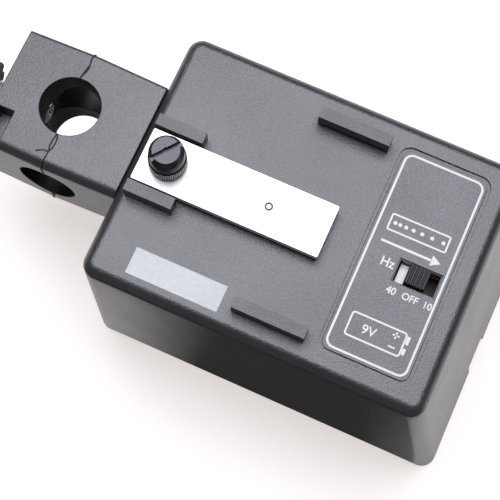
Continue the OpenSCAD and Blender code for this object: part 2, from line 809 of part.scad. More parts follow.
module capacitors() {
    color("#24406e") {
        under_board(-9, 14) translate([0, 0, part_gap])
            cylinder(h = big_capacitor[1], d = big_capacitor[0]);
        under_board(9, 12) translate([0, 0, part_gap])
            cylinder(h = small_capacitor[1], d = small_capacitor[0]);
    }
}

module transistor() {
    color("#232325") under_board(-8, -2) difference() {
        translate([0, 0, part_gap]) cylinder(h = transistor_size[1], d = transistor_size[0]);
        translate([transistor_size[0] / 2 - 1.1, -transistor_size[0], -1])
            cube([2, 2 * transistor_size[0], transistor_size[1] + 3]);
    }
}

module trimmers() {
    color("#2b62b0") for (y = [-9.4, -1.4]) under_board(9.6, y) difference() {
        translate([0, 0, part_gap]) block(trimmer_size);
        translate([0, 0, trimmer_size[2] - 0.6]) cylinder(h = 2, d = trimmer_dial_d);
    }
}

module resistors() {
    color("#cdb58a") for (k = [0:3]) under_board(-3 + 0.5 * k, -18 + 2.9 * k)
        translate([-resistor_size[1] / 2, 0, resistor_size[0] / 2 + part_gap]) rotate([0, 90, 0])
            cylinder(h = resistor_size[1], d = resistor_size[0]);
}

module coil_leads() {
    end_z = board_z - part_gap;
    start_y = mech_y - flange_d / 2 - part_gap;
    color("#b0402a") for (k = [0, 1]) {
        x = core_x + 2 * k;
        y = start_y - 2.4 * k;
        tube([[x, start_y, yoke_top + 0.7 + 3 * k], [x, start_y - 1.6, yoke_top + 1 + 3 * k],
            [x + 2.5, y - 3, yoke_top + 2 + 3 * k], [x + 8, y - 3, yoke_top + 2.2 + 3 * k],
            [x + 16, y - 3, yoke_top + 2.2 + 3 * k], [x + 24, y - 2, yoke_top + 2.2 + 3 * k],
            [x + 32, y, yoke_top + 2.4 + 2 * k], [board_x - board_w / 2 + 3, y + 1, end_z - 3.2 + k],
            [board_x - board_w / 2 + 4.5, y + 1.5, end_z - 1.4],
            [board_x - board_w / 2 + 4.5, y + 1.5, end_z]], lead_d, [0, 0, 1]);
    }
}

module switch_leads() {
    z0 = board_top + part_gap;
    z1 = switch_lead_z;
    color("#d9a520") for (i = [-1, 0, 1]) {
        x = switch_x + 4 * (i + 0.5);
        y = switch_y - 2.6;
        tube([[x, y, z1], [x, y, z1 - 0.8], [x, y - 0.7, (z0 + z1) / 2],
            [x, y - 1.4, z0 + 0.8], [x, y - 1.4, z0]], lead_d, [1, 0, 0]);
    }
}

// ---- rod clamp ----

// Block moulded in two halves, draughted both ways from the rod bore's plane. The
// nut plate slides in from its back, and the notch at the top front is a sight slot.
module clamp_form() {
    lead = function (x) abs(x - rod_x) * tan(clamp_draft);
    corners = [[-1, -1, clamp_edge_r], [-1, 1, clamp_edge_r], [1, -1, clamp_back_r], [1, 1, clamp_back_r]];
    hull() for (x = [clamp_x0, rod_x - eps, -case_l / 2 + 2], c = corners)
        translate([x, clamp_y + c[0] * (clamp_w / 2 - lead(x) - c[2]), rod_z + c[1] * (clamp_h / 2 - lead(x) - c[2])])
            rotate([0, 90, 0]) cylinder(h = eps, r = c[2], $fn = HULL_FN);
}

module clamp_block() {
    slot_t = nut_t + 2 * seat_gap;
    color(black) difference() {
        clamp_form();
        // face that seats on the draughted end wall of the case
        translate([-case_l / 2, 0, case_h]) rotate([0, draft, 0])
            translate([0, -clamp_w, -2 * case_h]) cube([10, 2 * clamp_w + 10, 3 * case_h]);
        translate([rod_x, rod_y, clamp_z0 - 1]) cylinder(h = clamp_h + 2, d = rod_d);
        translate([rod_x, clamp_y + clamp_w, rod_z]) rotate([90, 0, 0])
            cylinder(h = 2 * clamp_w, d = rod_d);
        translate([clamp_x0 - 1, rod_y, rod_z]) rotate([0, 90, 0])
            cylinder(h = rod_x - clamp_x0, d = pad_hole_d);
        translate([nut_x - seat_gap, rod_y - nut_l / 2 - seat_gap, rod_z - nut_h / 2 - seat_gap])
            cube([slot_t, clamp_w, nut_h + 2 * seat_gap]);
        translate([nut_x - seat_gap, clamp_y - clamp_w / 2 - 1, clamp_top - notch_h])
            cube([slot_t, notch_w + 1, notch_h + 1]);
        for (y = [-1, 1], z = [-1, 1])
            translate([-case_l / 2 - block_screw_in, clamp_y + y * block_screw_at[0], rod_z + z * block_screw_at[1]])
                rotate([0, 90, 0]) cylinder(h = block_screw_in + 2, d = block_screw_d);
    }
}

module block_screws() {
    color(metal) for (y = [-1, 1], z = [-1, 1]) {
        sz = rod_z + z * block_screw_at[1];
        translate([-half_l(sz) + wall_t + seat_gap, clamp_y + y * block_screw_at[0], sz])
            rotate([0, -90, 0])
                pan_screw(block_screw_d, block_screw_l, block_screw_head[0], block_screw_head[1]);
    }
}

module nut_plate() {
    color(metal) translate([nut_x, rod_y - nut_l / 2, rod_z - nut_h / 2]) difference() {
        cube([nut_t, nut_l, nut_h]);
        translate([-1, nut_l / 2, nut_h / 2]) rotate([0, 90, 0])
            cylinder(h = nut_t + 2, d = clamp_screw_d + 2 * running_gap);
    }
}

// The pad and the screw behind it meet at a small running gap
module clamp_pad() {
    color("#d6d8da") translate([pad_face - pad_l, rod_y, rod_z]) rotate([0, 90, 0]) difference() {
        union() {
            cylinder(h = pad_l - 0.5, d = pad_d);
            translate([0, 0, pad_l - 0.5]) cylinder(h = 0.5, d1 = pad_d, d2 = pad_d - 1);
        }
        translate([0, 0, pad_l - 0.8]) cylinder(h = 2, d = 1.8);
        translate([0, 0, -1]) cylinder(h = spigot_l + 1.2, d = spigot_d + 2 * running_gap);
    }
}

module clamp_screw() {
    x0 = knob_x - knob_l / 2;
    x1 = pad_face - pad_l - seat_gap;
    color(metal) translate([x0, rod_y, rod_z]) rotate([0, 90, 0]) {
        cylinder(h = x1 - x0, d = clamp_screw_d);
        translate([0, 0, x1 - x0]) cylinder(h = spigot_l, d = spigot_d);
    }
}

module clamp_knob() {
    flutes = 10;
    flute_r = knob_d * 0.085;
    hub_l = 0.8;
    crown = 2;
    color("#1c1b1d") translate([knob_x, rod_y, rod_z]) rotate([0, -90, 0]) difference() {
        rotate_extrude() {
            square([knob_d / 2 - crown, knob_l]);
            translate([0, hub_l]) square([knob_d / 2, knob_l - hub_l - crown]);
            intersection() {
                translate([knob_d / 2 - crown, knob_l - crown]) circle(crown);
                translate([0, knob_l - crown]) square([knob_d, crown]);
            }
        }
        for (k = [0:flutes - 1]) rotate(360 * k / flutes)
            translate([knob_d / 2 + flute_r * 0.35, 0, hub_l - 1]) cylinder(h = knob_l + 2, r = flute_r);
        translate([0, 0, -1]) cylinder(h = knob_l / 2 + 1, d = clamp_screw_d);
        translate([0, 0, knob_l - 0.6]) cylinder(h = 2, d = knob_d * 0.5);
    }
}

case_shell();
bottom_cover();
label_plate();
anvil_plate();
disc_pin();
thumb_screw();
threaded_insert();
switch_frame();
switch_housing();
switch_terminals();
switch_slider();
switch_knob();
switch_screws();
battery();
battery_terminals();
battery_snap();
battery_pad();
battery_leads();
magnet_yoke();
yoke_screws();
magnet_core();
coil_bobbin();
coil_winding();
armature_axle();
armature();
striker_pin();
return_spring();
rest_buffer();
circuit_board();
board_screws();
timer_chip();
capacitors();
transistor();
trimmers();
resistors();
coil_leads();
switch_leads();
clamp_block();
block_screws();
nut_plate();
clamp_screw();
clamp_pad();
clamp_knob();
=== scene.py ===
import math

import bmesh
import bpy
from mathutils import Matrix, Vector
from mathutils.bvhtree import BVHTree


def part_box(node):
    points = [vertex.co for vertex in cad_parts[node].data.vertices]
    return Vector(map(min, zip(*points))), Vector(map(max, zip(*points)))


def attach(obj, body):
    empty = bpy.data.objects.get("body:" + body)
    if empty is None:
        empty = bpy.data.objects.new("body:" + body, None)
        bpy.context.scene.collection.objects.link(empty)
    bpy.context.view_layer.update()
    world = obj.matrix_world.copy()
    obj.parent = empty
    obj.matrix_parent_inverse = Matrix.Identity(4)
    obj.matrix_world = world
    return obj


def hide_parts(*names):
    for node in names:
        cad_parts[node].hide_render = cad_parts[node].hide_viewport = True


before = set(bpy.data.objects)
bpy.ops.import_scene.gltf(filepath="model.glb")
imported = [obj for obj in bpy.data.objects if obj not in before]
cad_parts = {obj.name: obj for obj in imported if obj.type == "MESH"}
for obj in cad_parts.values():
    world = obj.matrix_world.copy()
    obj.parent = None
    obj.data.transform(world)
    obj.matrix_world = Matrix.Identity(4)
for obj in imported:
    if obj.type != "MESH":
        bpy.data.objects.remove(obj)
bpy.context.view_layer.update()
print("frame loaded")

mm = 0.001


def feed(tree, value, socket):
    # Links another node's output to the socket, or sets a constant on it
    if isinstance(value, bpy.types.NodeSocket):
        tree.links.new(value, socket)
    else:
        socket.default_value = value


def addNode(tree, kind, inputs=None, **settings):
    node = tree.nodes.new(kind)
    for key, value in settings.items():
        setattr(node, key, value)
    for key, value in (inputs or {}).items():
        feed(tree, value, node.inputs[key])
    return node


def objectPoint(tree):
    return addNode(tree, "ShaderNodeTexCoord").outputs["Object"]


def noiseAt(tree, point, scale, detail=2.0, roughness=0.5):
    return addNode(tree, "ShaderNodeTexNoise", {
        "Vector": point, "Scale": scale, "Detail": detail, "Roughness": roughness}).outputs["Fac"]


def remap(tree, value, fromLow, fromHigh, toLow, toHigh):
    return addNode(tree, "ShaderNodeMapRange", {
        "Value": value, "From Min": fromLow, "From Max": fromHigh,
        "To Min": toLow, "To Max": toHigh}).outputs["Result"]


def compute(tree, operation, *values, clamp=False):
    node = addNode(tree, "ShaderNodeMath", dict(enumerate(values)), operation=operation, use_clamp=clamp)
    return node.outputs["Value"]


def scaleColor(tree, color, factor):
    node = addNode(tree, "ShaderNodeVectorMath", {0: color, "Scale": factor}, operation="SCALE")
    return node.outputs["Vector"]


def mixColors(tree, share, first, second):
    # Sockets 6 and 7 are the two colours of a colour mix, and output 2 is its colour
    node = addNode(tree, "ShaderNodeMix", {"Factor": share, 6: first, 7: second}, data_type="RGBA")
    return node.outputs[2]


def newGroup(name, inputs, outputs):
    group = bpy.data.node_groups.new(name, "ShaderNodeTree")
    for socketName, kind, value in inputs:
        socket = group.interface.new_socket(name=socketName, in_out="INPUT", socket_type=kind)
        socket.default_value = value
    for socketName, kind in outputs:
        group.interface.new_socket(name=socketName, in_out="OUTPUT", socket_type=kind)
    start = group.nodes.new("NodeGroupInput")
    end = group.nodes.new("NodeGroupOutput")
    return group, start.outputs, end.inputs


mouldGrain = {"noiseSpan": (0.3, 0.7), "detail": 3.0, "roughness": 0.6,
              "tone": (0.9, 1.1), "gloss": (0.84, 1.18), "cloudScale": 55.0,
              "cloudDetail": 4.0, "cloudTone": (0.93, 1.07), "cloudSpan": (0.25, 0.75),
              "cloudGloss": (0.9, 1.1)}


def makeMouldGrain(spec):
    # The fine grain of a moulded surface, over faint clouds of tone and gloss
    group, start, end = newGroup(
        "mouldGrain",
        [("Color", "NodeSocketColor", (0.1, 0.1, 0.1, 1)),
         ("Roughness", "NodeSocketFloat", 0.5),
         ("Grain Scale", "NodeSocketFloat", 2600.0)],
        [("Color", "NodeSocketColor"), ("Roughness", "NodeSocketFloat"), ("Height", "NodeSocketFloat")])
    point = objectPoint(group)
    grain = noiseAt(group, point, start["Grain Scale"], spec["detail"], spec["roughness"])
    cloud = noiseAt(group, point, spec["cloudScale"], spec["cloudDetail"])
    tone = compute(group, "MULTIPLY", remap(group, cloud, *spec["noiseSpan"], *spec["cloudTone"]),
                   remap(group, grain, *spec["noiseSpan"], *spec["tone"]))
    feed(group, scaleColor(group, start["Color"], tone), end["Color"])
    clouded = compute(group, "MULTIPLY", start["Roughness"],
                      remap(group, cloud, *spec["cloudSpan"], *spec["cloudGloss"]))
    speckled = compute(group, "MULTIPLY", clouded, remap(group, grain, *spec["noiseSpan"], *spec["gloss"]))
    feed(group, speckled, end["Roughness"])
    feed(group, grain, end["Height"])
    return group


handling = {"speckScale": 190.0, "speckEdge": (0.03, 0.05), "speckChoice": 0.82,
            "rubStretch": (30.0, 260.0, 260.0), "rubTurn": (0.0, 0.0, 0.5), "rubDetail": 3.0,
            "rubRoughness": 0.7, "rubEdge": (0.74, 0.8), "rubLevel": 0.5,
            "dust": (0.42, 0.41, 0.4, 1), "dulling": 0.3}


def makeHandling(spec):
    # Dust specks and short pale rubs, sparse and small
    group, start, end = newGroup(
        "handling",
        [("Color", "NodeSocketColor", (0.1, 0.1, 0.1, 1)),
         ("Roughness", "NodeSocketFloat", 0.5),
         ("Amount", "NodeSocketFloat", 0.5)],
        [("Color", "NodeSocketColor"), ("Roughness", "NodeSocketFloat")])
    point = objectPoint(group)
    cells = addNode(group, "ShaderNodeTexVoronoi", {
        "Vector": point, "Scale": spec["speckScale"], "Randomness": 1.0}).outputs
    speck = remap(group, cells["Distance"], *spec["speckEdge"], 1.0, 0.0)
    cellColor = addNode(group, "ShaderNodeSeparateColor", {"Color": cells["Color"]}).outputs
    chosen = compute(group, "GREATER_THAN", cellColor["Red"], spec["speckChoice"])
    stretched = addNode(group, "ShaderNodeMapping", {
        "Vector": point, "Scale": spec["rubStretch"], "Rotation": spec["rubTurn"]}).outputs["Vector"]
    streaks = noiseAt(group, stretched, 1.0, spec["rubDetail"], spec["rubRoughness"])
    rub = remap(group, streaks, *spec["rubEdge"], 0.0, spec["rubLevel"])
    marks = compute(group, "MULTIPLY_ADD", speck, chosen, rub)
    share = compute(group, "MULTIPLY", marks, start["Amount"], clamp=True)
    feed(group, mixColors(group, share, start["Color"], spec["dust"]), end["Color"])
    dulled = compute(group, "MULTIPLY_ADD", share, spec["dulling"], start["Roughness"], clamp=True)
    feed(group, dulled, end["Roughness"])
    return group


brushedLines = {"noiseSpan": (0.3, 0.7), "tone": (0.95, 1.04), "detail": 4.0, "roughness": 0.65,
                "glossSpan": (0.2, 0.8), "gloss": (0.78, 1.25), "cloudScale": 90.0, "cloudDetail": 3.0}


def makeBrushed(spec):
    # Fine lines along the axis that has the least stretch
    group, start, end = newGroup(
        "brushedLines",
        [("Color", "NodeSocketColor", (0.7, 0.7, 0.7, 1)),
         ("Roughness", "NodeSocketFloat", 0.3),
         ("Stretch", "NodeSocketVector", (120.0, 6000.0, 6000.0))],
        [("Color", "NodeSocketColor"), ("Roughness", "NodeSocketFloat"), ("Height", "NodeSocketFloat")])
    point = objectPoint(group)
    stretched = addNode(group, "ShaderNodeVectorMath", {0: point, 1: start["Stretch"]}, operation="MULTIPLY")
    lines = noiseAt(group, stretched.outputs["Vector"], 1.0, spec["detail"], spec["roughness"])
    cloud = noiseAt(group, point, spec["cloudScale"], spec["cloudDetail"])
    tone = compute(group, "MULTIPLY", remap(group, lines, *spec["noiseSpan"], *spec["tone"]),
                   remap(group, cloud, *spec["noiseSpan"], *spec["tone"]))
    feed(group, scaleColor(group, start["Color"], tone), end["Color"])
    gloss = remap(group, lines, *spec["glossSpan"], *spec["gloss"])
    feed(group, compute(group, "MULTIPLY", start["Roughness"], gloss), end["Roughness"])
    feed(group, lines, end["Height"])
    return group


def makeTurns():
    # Evenly spaced turns or bands along an axis of the object
    group, start, end = newGroup(
        "turns",
        [("Color", "NodeSocketColor", (0.5, 0.2, 0.1, 1)),
         ("Band Color", "NodeSocketColor", (0.2, 0.08, 0.04, 1)),
         ("Turns Per Metre", "NodeSocketVector", (0.0, 0.0, 1000.0))],
        [("Color", "NodeSocketColor"), ("Height", "NodeSocketFloat")])
    along = addNode(group, "ShaderNodeVectorMath", {0: objectPoint(group), 1: start["Turns Per Metre"]},
                    operation="DOT_PRODUCT")
    angle = compute(group, "MULTIPLY", along.outputs["Value"], 2 * math.pi)
    height = remap(group, compute(group, "SINE", angle), -1.0, 1.0, 0.0, 1.0)
    feed(group, mixColors(group, height, start["Band Color"], start["Color"]), end["Color"])
    feed(group, height, end["Height"])
    return group


effects = {"grain": makeMouldGrain(mouldGrain), "handling": makeHandling(handling),
           "brushed": makeBrushed(brushedLines), "turns": makeTurns()}


def useEffect(tree, effect, inputs):
    return addNode(tree, "ShaderNodeGroup", inputs, node_tree=effects[effect]).outputs


def startMaterial(name, spec):
    material = bpy.data.materials.new(name)
    material.use_nodes = True
    material.diffuse_color = (*spec["color"], 1)
    tree = material.node_tree
    shader = tree.nodes["Principled BSDF"].inputs
    for key, value in spec.get("shader", {}).items():
        shader[key].default_value = value
    bump = addNode(tree, "ShaderNodeBump", {
        "Strength": spec.get("bump", 0.3), "Distance": spec.get("depth", 0.02) * mm})
    feed(tree, bump.outputs["Normal"], shader["Normal"])
    return material, tree, shader, bump.inputs["Height"]


def mouldedMaterial(name, spec):
    material, tree, shader, height = startMaterial(name, spec)
    surface = useEffect(tree, "grain", {
        "Color": (*spec["color"], 1), "Roughness": spec["roughness"], "Grain Scale": spec["grain"]})
    feed(tree, surface["Height"], height)
    if "handled" in spec:
        surface = useEffect(tree, "handling", {
            "Color": surface["Color"], "Roughness": surface["Roughness"], "Amount": spec["handled"]})
    feed(tree, surface["Color"], shader["Base Color"])
    feed(tree, surface["Roughness"], shader["Roughness"])
    return material


def brushedMaterial(name, spec):
    material, tree, shader, height = startMaterial(name, spec)
    shader["Metallic"].default_value = spec.get("metallic", 1.0)
    surface = useEffect(tree, "brushed", {
        "Color": (*spec["color"], 1), "Roughness": spec["roughness"], "Stretch": spec["stretch"]})
    feed(tree, surface["Color"], shader["Base Color"])
    feed(tree, surface["Roughness"], shader["Roughness"])
    feed(tree, surface["Height"], height)
    return material


def bandedMaterial(name, spec):
    material, tree, shader, height = startMaterial(name, spec)
    shader["Roughness"].default_value = spec["roughness"]
    surface = useEffect(tree, "turns", {
        "Color": (*spec["color"], 1), "Band Color": (*spec["band"], 1), "Turns Per Metre": spec["turns"]})
    feed(tree, surface["Color"], shader["Base Color"])
    feed(tree, surface["Height"], height)
    return material


# In the tables of materials, depth is the bump's height in millimetres
moulded = {
    "casePlastic": {"color": (0.031, 0.0305, 0.033), "roughness": 0.36, "grain": 2000.0, "bump": 0.9,
                    "depth": 0.1, "handled": 0.5, "shader": {"IOR": 1.55, "Specular IOR Level": 0.95}},
    "bridgePlastic": {"color": (0.033, 0.031, 0.031), "roughness": 0.4, "grain": 2000.0, "bump": 0.9,
                      "depth": 0.1, "handled": 0.9, "shader": {"IOR": 1.55, "Specular IOR Level": 0.88}},
    "labelPlastic": {"color": (0.031, 0.031, 0.036), "roughness": 0.37, "grain": 2200.0, "bump": 0.9,
                     "depth": 0.09, "handled": 0.2, "shader": {"IOR": 1.55, "Specular IOR Level": 0.95}},
    # boreShadeBlack is a darker black for the clamp block's bore faces, painted shade inside the bores; the
    # parting flash uses it too
    "boreShadeBlack": {"color": (0.012, 0.0115, 0.012), "roughness": 0.46, "grain": 2600.0, "bump": 0.5,
                  "depth": 0.02, "shader": {"Specular IOR Level": 0.4}},
    "printWhite": {"color": (0.86, 0.86, 0.84), "roughness": 0.5, "grain": 5200.0, "depth": 0.006},
    "stickerWhite": {"color": (0.68, 0.69, 0.71), "roughness": 0.5, "grain": 900.0, "bump": 0.15,
                     "depth": 0.004},
    "knobBlack": {"color": (0.035, 0.035, 0.038), "roughness": 0.36, "grain": 3000.0, "depth": 0.012,
                  "handled": 0.3},
    "blackNylon": {"color": (0.012, 0.012, 0.013), "roughness": 0.4, "grain": 4200.0, "depth": 0.01,
                   "shader": {"Specular IOR Level": 0.35}},
    "whiteNylon": {"color": (0.94, 0.93, 0.9), "roughness": 0.42, "grain": 3600.0, "depth": 0.008},
    "phenolic": {"color": (0.1, 0.055, 0.03), "roughness": 0.5, "grain": 1500.0, "depth": 0.02},
    "batteryJacket": {"color": (0.1, 0.11, 0.13), "roughness": 0.3, "grain": 1800.0, "depth": 0.006,
                      "shader": {"Coat Weight": 0.4, "Coat Roughness": 0.2}},
    "blackVinyl": {"color": (0.03, 0.03, 0.034), "roughness": 0.6, "grain": 1400.0, "depth": 0.03},
    "foam": {"color": (0.14, 0.15, 0.16), "roughness": 0.9, "grain": 1100.0, "bump": 0.9, "depth": 0.25},
    "redWire": {"color": (0.45, 0.03, 0.03), "roughness": 0.42, "grain": 2400.0, "depth": 0.01},
    "orangeWire": {"color": (0.5, 0.1, 0.05), "roughness": 0.42, "grain": 2400.0, "depth": 0.01},
    "yellowWire": {"color": (0.7, 0.45, 0.05), "roughness": 0.42, "grain": 2400.0, "depth": 0.01},
    "bobbinNylon": {"color": (0.74, 0.7, 0.6), "roughness": 0.45, "grain": 2800.0, "depth": 0.01},
    "bufferRubber": {"color": (0.025, 0.025, 0.025), "roughness": 0.75, "grain": 1800.0, "depth": 0.03},
    "boardGreen": {"color": (0.03, 0.14, 0.06), "roughness": 0.34, "grain": 900.0, "depth": 0.02,
                   "shader": {"Coat Weight": 0.3}},
    "chipBlack": {"color": (0.03, 0.03, 0.034), "roughness": 0.55, "grain": 4800.0, "depth": 0.012},
    "capacitorBlue": {"color": (0.03, 0.06, 0.22), "roughness": 0.3, "grain": 1600.0, "depth": 0.006},
    "trimmerBlue": {"color": (0.03, 0.14, 0.5), "roughness": 0.38, "grain": 2600.0, "depth": 0.008},
}
metals = {
    "platedSteel": {"color": (0.9, 0.9, 0.885), "roughness": 0.42, "metallic": 0.6,
                    "stretch": (120.0, 6000.0, 6000.0), "bump": 0.15, "depth": 0.008},
    "blackOxide": {"color": (0.075, 0.074, 0.078), "roughness": 0.34,
                   "stretch": (900.0, 900.0, 5200.0), "depth": 0.012},
    # crestHighlightOxide is a lighter oxide on the thumb screw's knurl crests, a painted highlight
    "crestHighlightOxide": {"color": (0.44, 0.42, 0.4), "roughness": 0.38, "metallic": 0.5,
                  "stretch": (900.0, 900.0, 5200.0), "depth": 0.012},
    # rimShadeSteel is the dark metal of the disc pin's rim, painted shade on a nickel rivet
    "rimShadeSteel": {"color": (0.1, 0.075, 0.06), "roughness": 0.4, "stretch": (2600.0, 2600.0, 2600.0)},
    "nickel": {"color": (0.72, 0.71, 0.69), "roughness": 0.24,
               "stretch": (2600.0, 2600.0, 2600.0), "depth": 0.006},
    "zincSteel": {"color": (0.62, 0.63, 0.65), "roughness": 0.36, "metallic": 0.85,
                  "stretch": (1500.0, 1500.0, 1500.0)},
    "brass": {"color": (0.72, 0.5, 0.2), "roughness": 0.3, "stretch": (700.0, 700.0, 5200.0)},
    "softIron": {"color": (0.42, 0.42, 0.43), "roughness": 0.42, "stretch": (1900.0, 1900.0, 1900.0)},
    "springSteel": {"color": (0.5, 0.51, 0.53), "roughness": 0.3, "stretch": (3200.0, 3200.0, 3200.0)},
}
banded = {
    "copperWinding": {"color": (0.62, 0.23, 0.08), "band": (0.28, 0.09, 0.03), "turns": (0.0, 0.0, 4000.0),
                      "roughness": 0.3, "bump": 0.8, "depth": 0.12, "shader": {"Metallic": 0.7}},
    "resistorTan": {"color": (0.62, 0.46, 0.27), "band": (0.22, 0.08, 0.03), "turns": (620.0, 0.0, 0.0),
                    "roughness": 0.35, "bump": 0.1, "depth": 0.02},
}
materials = {}
for makeMaterial, specs in ((mouldedMaterial, moulded), (brushedMaterial, metals), (bandedMaterial, banded)):
    for name, spec in specs.items():
        materials[name] = makeMaterial(name, spec)
print("materials made")


creaseAngle = math.radians(32)  # what bends more gets a sharp line in the shading and a bevel
tidyMesh = {"weld": 1e-6, "flat": math.radians(0.6)}


def finishMesh(bm, name, material, sharp=creaseAngle):
    bmesh.ops.recalc_face_normals(bm, faces=bm.faces)
    mesh = bpy.data.meshes.new(name)
    bm.to_mesh(mesh)
    bm.free()
    mesh.polygons.foreach_set("use_smooth", [True] * len(mesh.polygons))
    mesh.set_sharp_from_angle(angle=sharp)
    mesh.materials.append(materials[material])
    piece = bpy.data.objects.new(name, mesh)
    bpy.context.scene.collection.objects.link(piece)
    return piece


def softenEdges(piece, width, segments=2):
    bevel = piece.modifiers.new("edges", "BEVEL")
    bevel.width = width
    bevel.segments = segments
    bevel.limit_method = "ANGLE"
    bevel.angle_limit = creaseAngle
    bevel.harden_normals = True


def mount(piece, spec):
    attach(piece, spec["body"])
    if "nodes" in spec:
        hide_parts(*spec["nodes"])
    return piece


def weighNormals(piece):
    # Keeps the wide faces flat in the shading, beside the small fillets
    normals = piece.modifiers.new("normals", "WEIGHTED_NORMAL")
    normals.keep_sharp = True
    normals.weight = 60


def cutOff(bm, place, outward):
    # Takes away what lies beyond a plane, and gives back the edges of the cut
    cut = bmesh.ops.bisect_plane(bm, geom=bm.verts[:] + bm.edges[:] + bm.faces[:], dist=1e-7,
                                 plane_co=place, plane_no=outward, clear_outer=True)
    return [item for item in cut["geom_cut"] if isinstance(item, bmesh.types.BMEdge)]


def lineBores(bm, bores, slack=0.25 * mm, lean=0.1):
    # Gives the second material to the faces of round bores: a point on the axis, its direction, the radius
    for point, axis, radius in bores:
        along = Vector(axis)
        for face in bm.faces:
            away = face.calc_center_median() - Vector(point)
            off = (away - along * away.dot(along)).length
            if abs(off - radius) < slack and abs(face.normal.dot(along)) < lean:
                face.material_index = 1


def wearTops(bm, level, upright=0.98):
    # Gives the second material to flat tops above a level
    for face in bm.faces:
        if face.normal.z > upright and face.calc_center_median().z > level:
            face.material_index = 1


def dressNode(spec):
    # Gives a CAD node's own mesh softened edges and a material
    bm = bmesh.new()
    bm.from_mesh(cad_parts[spec["nodes"][0]].data)
    bmesh.ops.remove_doubles(bm, verts=bm.verts, dist=tidyMesh["weld"])
    bmesh.ops.dissolve_limit(bm, angle_limit=tidyMesh["flat"], verts=bm.verts, edges=bm.edges)
    lineBores(bm, spec.get("bores", ()))
    wearTops(bm, spec.get("worn", math.inf))
    if "cutBeyond" in spec:
        bmesh.ops.holes_fill(bm, edges=cutOff(bm, (spec["cutBeyond"], 0, 0), (1, 0, 0)))
    piece = finishMesh(bm, spec["name"], spec["material"])
    if "second" in spec:
        piece.data.materials.append(materials[spec["second"]])
    if "round" in spec:
        softenEdges(piece, spec["round"], spec.get("segments", 2))
        weighNormals(piece)
    if "levels" in spec:
        smooth = piece.modifiers.new("smooth", "SUBSURF")
        smooth.levels = smooth.render_levels = spec["levels"]
    return mount(piece, spec)


def vertsOf(result):
    return [item for item in result["geom"] if isinstance(item, bmesh.types.BMVert)]


def addShape(bm, shape, place=None):
    # Moves a finished shape into a larger mesh
    mesh = bpy.data.meshes.new("shape")
    shape.to_mesh(mesh)
    shape.free()
    if place:
        mesh.transform(place)
    bm.from_mesh(mesh)
    bpy.data.meshes.remove(mesh)


def raiseShape(shape, height):
    raised = bmesh.ops.extrude_face_region(shape, geom=shape.faces[:])
    bmesh.ops.translate(shape, verts=vertsOf(raised), vec=(0, 0, height))
    return shape


def roundedPlate(length, width, radius=0.0):
    shape = bmesh.new()
    bmesh.ops.create_grid(shape, x_segments=1, y_segments=1, size=0.5,
                          matrix=Matrix.Diagonal((length, width, 1, 1)))
    if radius:
        bmesh.ops.bevel(shape, geom=shape.verts[:], offset=radius, offset_type="OFFSET", segments=8,
                        profile=0.5, affect="VERTICES", material=-1)
    return shape


def roundedLine(length, width, radius, line):
    # The closed line that is left inside the edge of a rounded plate
    shape = roundedPlate(length, width, radius)
    rim = bmesh.ops.inset_region(shape, faces=shape.faces[:], thickness=line, use_boundary=True,
                                 use_even_offset=True)["faces"]
    bmesh.ops.delete(shape, geom=[face for face in shape.faces if face not in rim], context="FACES")
    return shape


def disc(radius, segments, turn=0.0):
    shape = bmesh.new()
    bmesh.ops.create_circle(shape, cap_ends=True, radius=radius, segments=segments,
                            matrix=Matrix.Rotation(turn, 4, "Z"))
    return shape


def turnedShape(profile, steps):
    # A profile of (radius, height) points, turned once round the Z axis
    shape = bmesh.new()
    corners = [shape.verts.new((radius, 0, height)) for radius, height in profile]
    edges = [shape.edges.new(pair) for pair in zip(corners, corners[1:])]
    bmesh.ops.spin(shape, geom=corners + edges, cent=(0, 0, 0), axis=(0, 0, 1), dvec=(0, 0, 0),
                   angle=2 * math.pi, steps=steps, use_merge=True)
    bmesh.ops.remove_doubles(shape, verts=shape.verts, dist=1e-7)
    bmesh.ops.holes_fill(shape, edges=shape.edges, sides=0)
    bmesh.ops.recalc_face_normals(shape, faces=shape.faces)
    return shape


threadForm = {"crest": (0.42, 0.58), "perTurn": 24, "spareTurns": 2, "weld": 0.002 * mm}


def threadedRod(spec, radius, depth, pitch, length):
    # One thread form, spun along its helix with spare turns at both ends, which are then cut square
    shape = bmesh.new()
    rise, fall = spec["crest"]
    corners = [shape.verts.new((reach, 0, (share - spec["spareTurns"]) * pitch)) for reach, share in
               ((radius - depth, 0), (radius, rise), (radius, fall), (radius - depth, 1))]
    edges = [shape.edges.new(pair) for pair in zip(corners, corners[1:])]
    turnCount = math.ceil(length / pitch) + 2 * spec["spareTurns"]
    bmesh.ops.spin(shape, geom=corners + edges, cent=(0, 0, 0), axis=(0, 0, 1),
                   dvec=(0, 0, pitch / spec["perTurn"]), angle=2 * math.pi * turnCount,
                   steps=spec["perTurn"] * turnCount, use_merge=False)
    bmesh.ops.remove_doubles(shape, verts=shape.verts, dist=spec["weld"])
    for height, outward in ((0, -1), (length, 1)):
        bmesh.ops.contextual_create(shape, geom=cutOff(shape, (0, 0, height), (0, 0, outward)))
    bmesh.ops.recalc_face_normals(shape, faces=shape.faces)
    return shape


def addCurve(bm, curve, place):
    # Turns a curve or words into faces of a larger mesh
    holder = bpy.data.objects.new("line", curve)
    bpy.context.scene.collection.objects.link(holder)
    bpy.context.view_layer.update()
    mesh = bpy.data.meshes.new_from_object(holder.evaluated_get(bpy.context.evaluated_depsgraph_get()))
    mesh.transform(place)
    bm.from_mesh(mesh)
    bpy.data.objects.remove(holder)
    bpy.data.curves.remove(curve)
    bpy.data.meshes.remove(mesh)


def addWords(bm, words, place, size, height, weight, squeeze=1.0):
    curve = bpy.data.curves.new("words", "FONT")
    curve.body = words
    curve.size = size
    curve.align_x = "CENTER"
    curve.extrude = height / 2
    curve.offset = weight
    curve.resolution_u = 4
    addCurve(bm, curve, Matrix.Translation((*place, height / 2)) @ Matrix.Diagonal((squeeze, 1, 1, 1)))


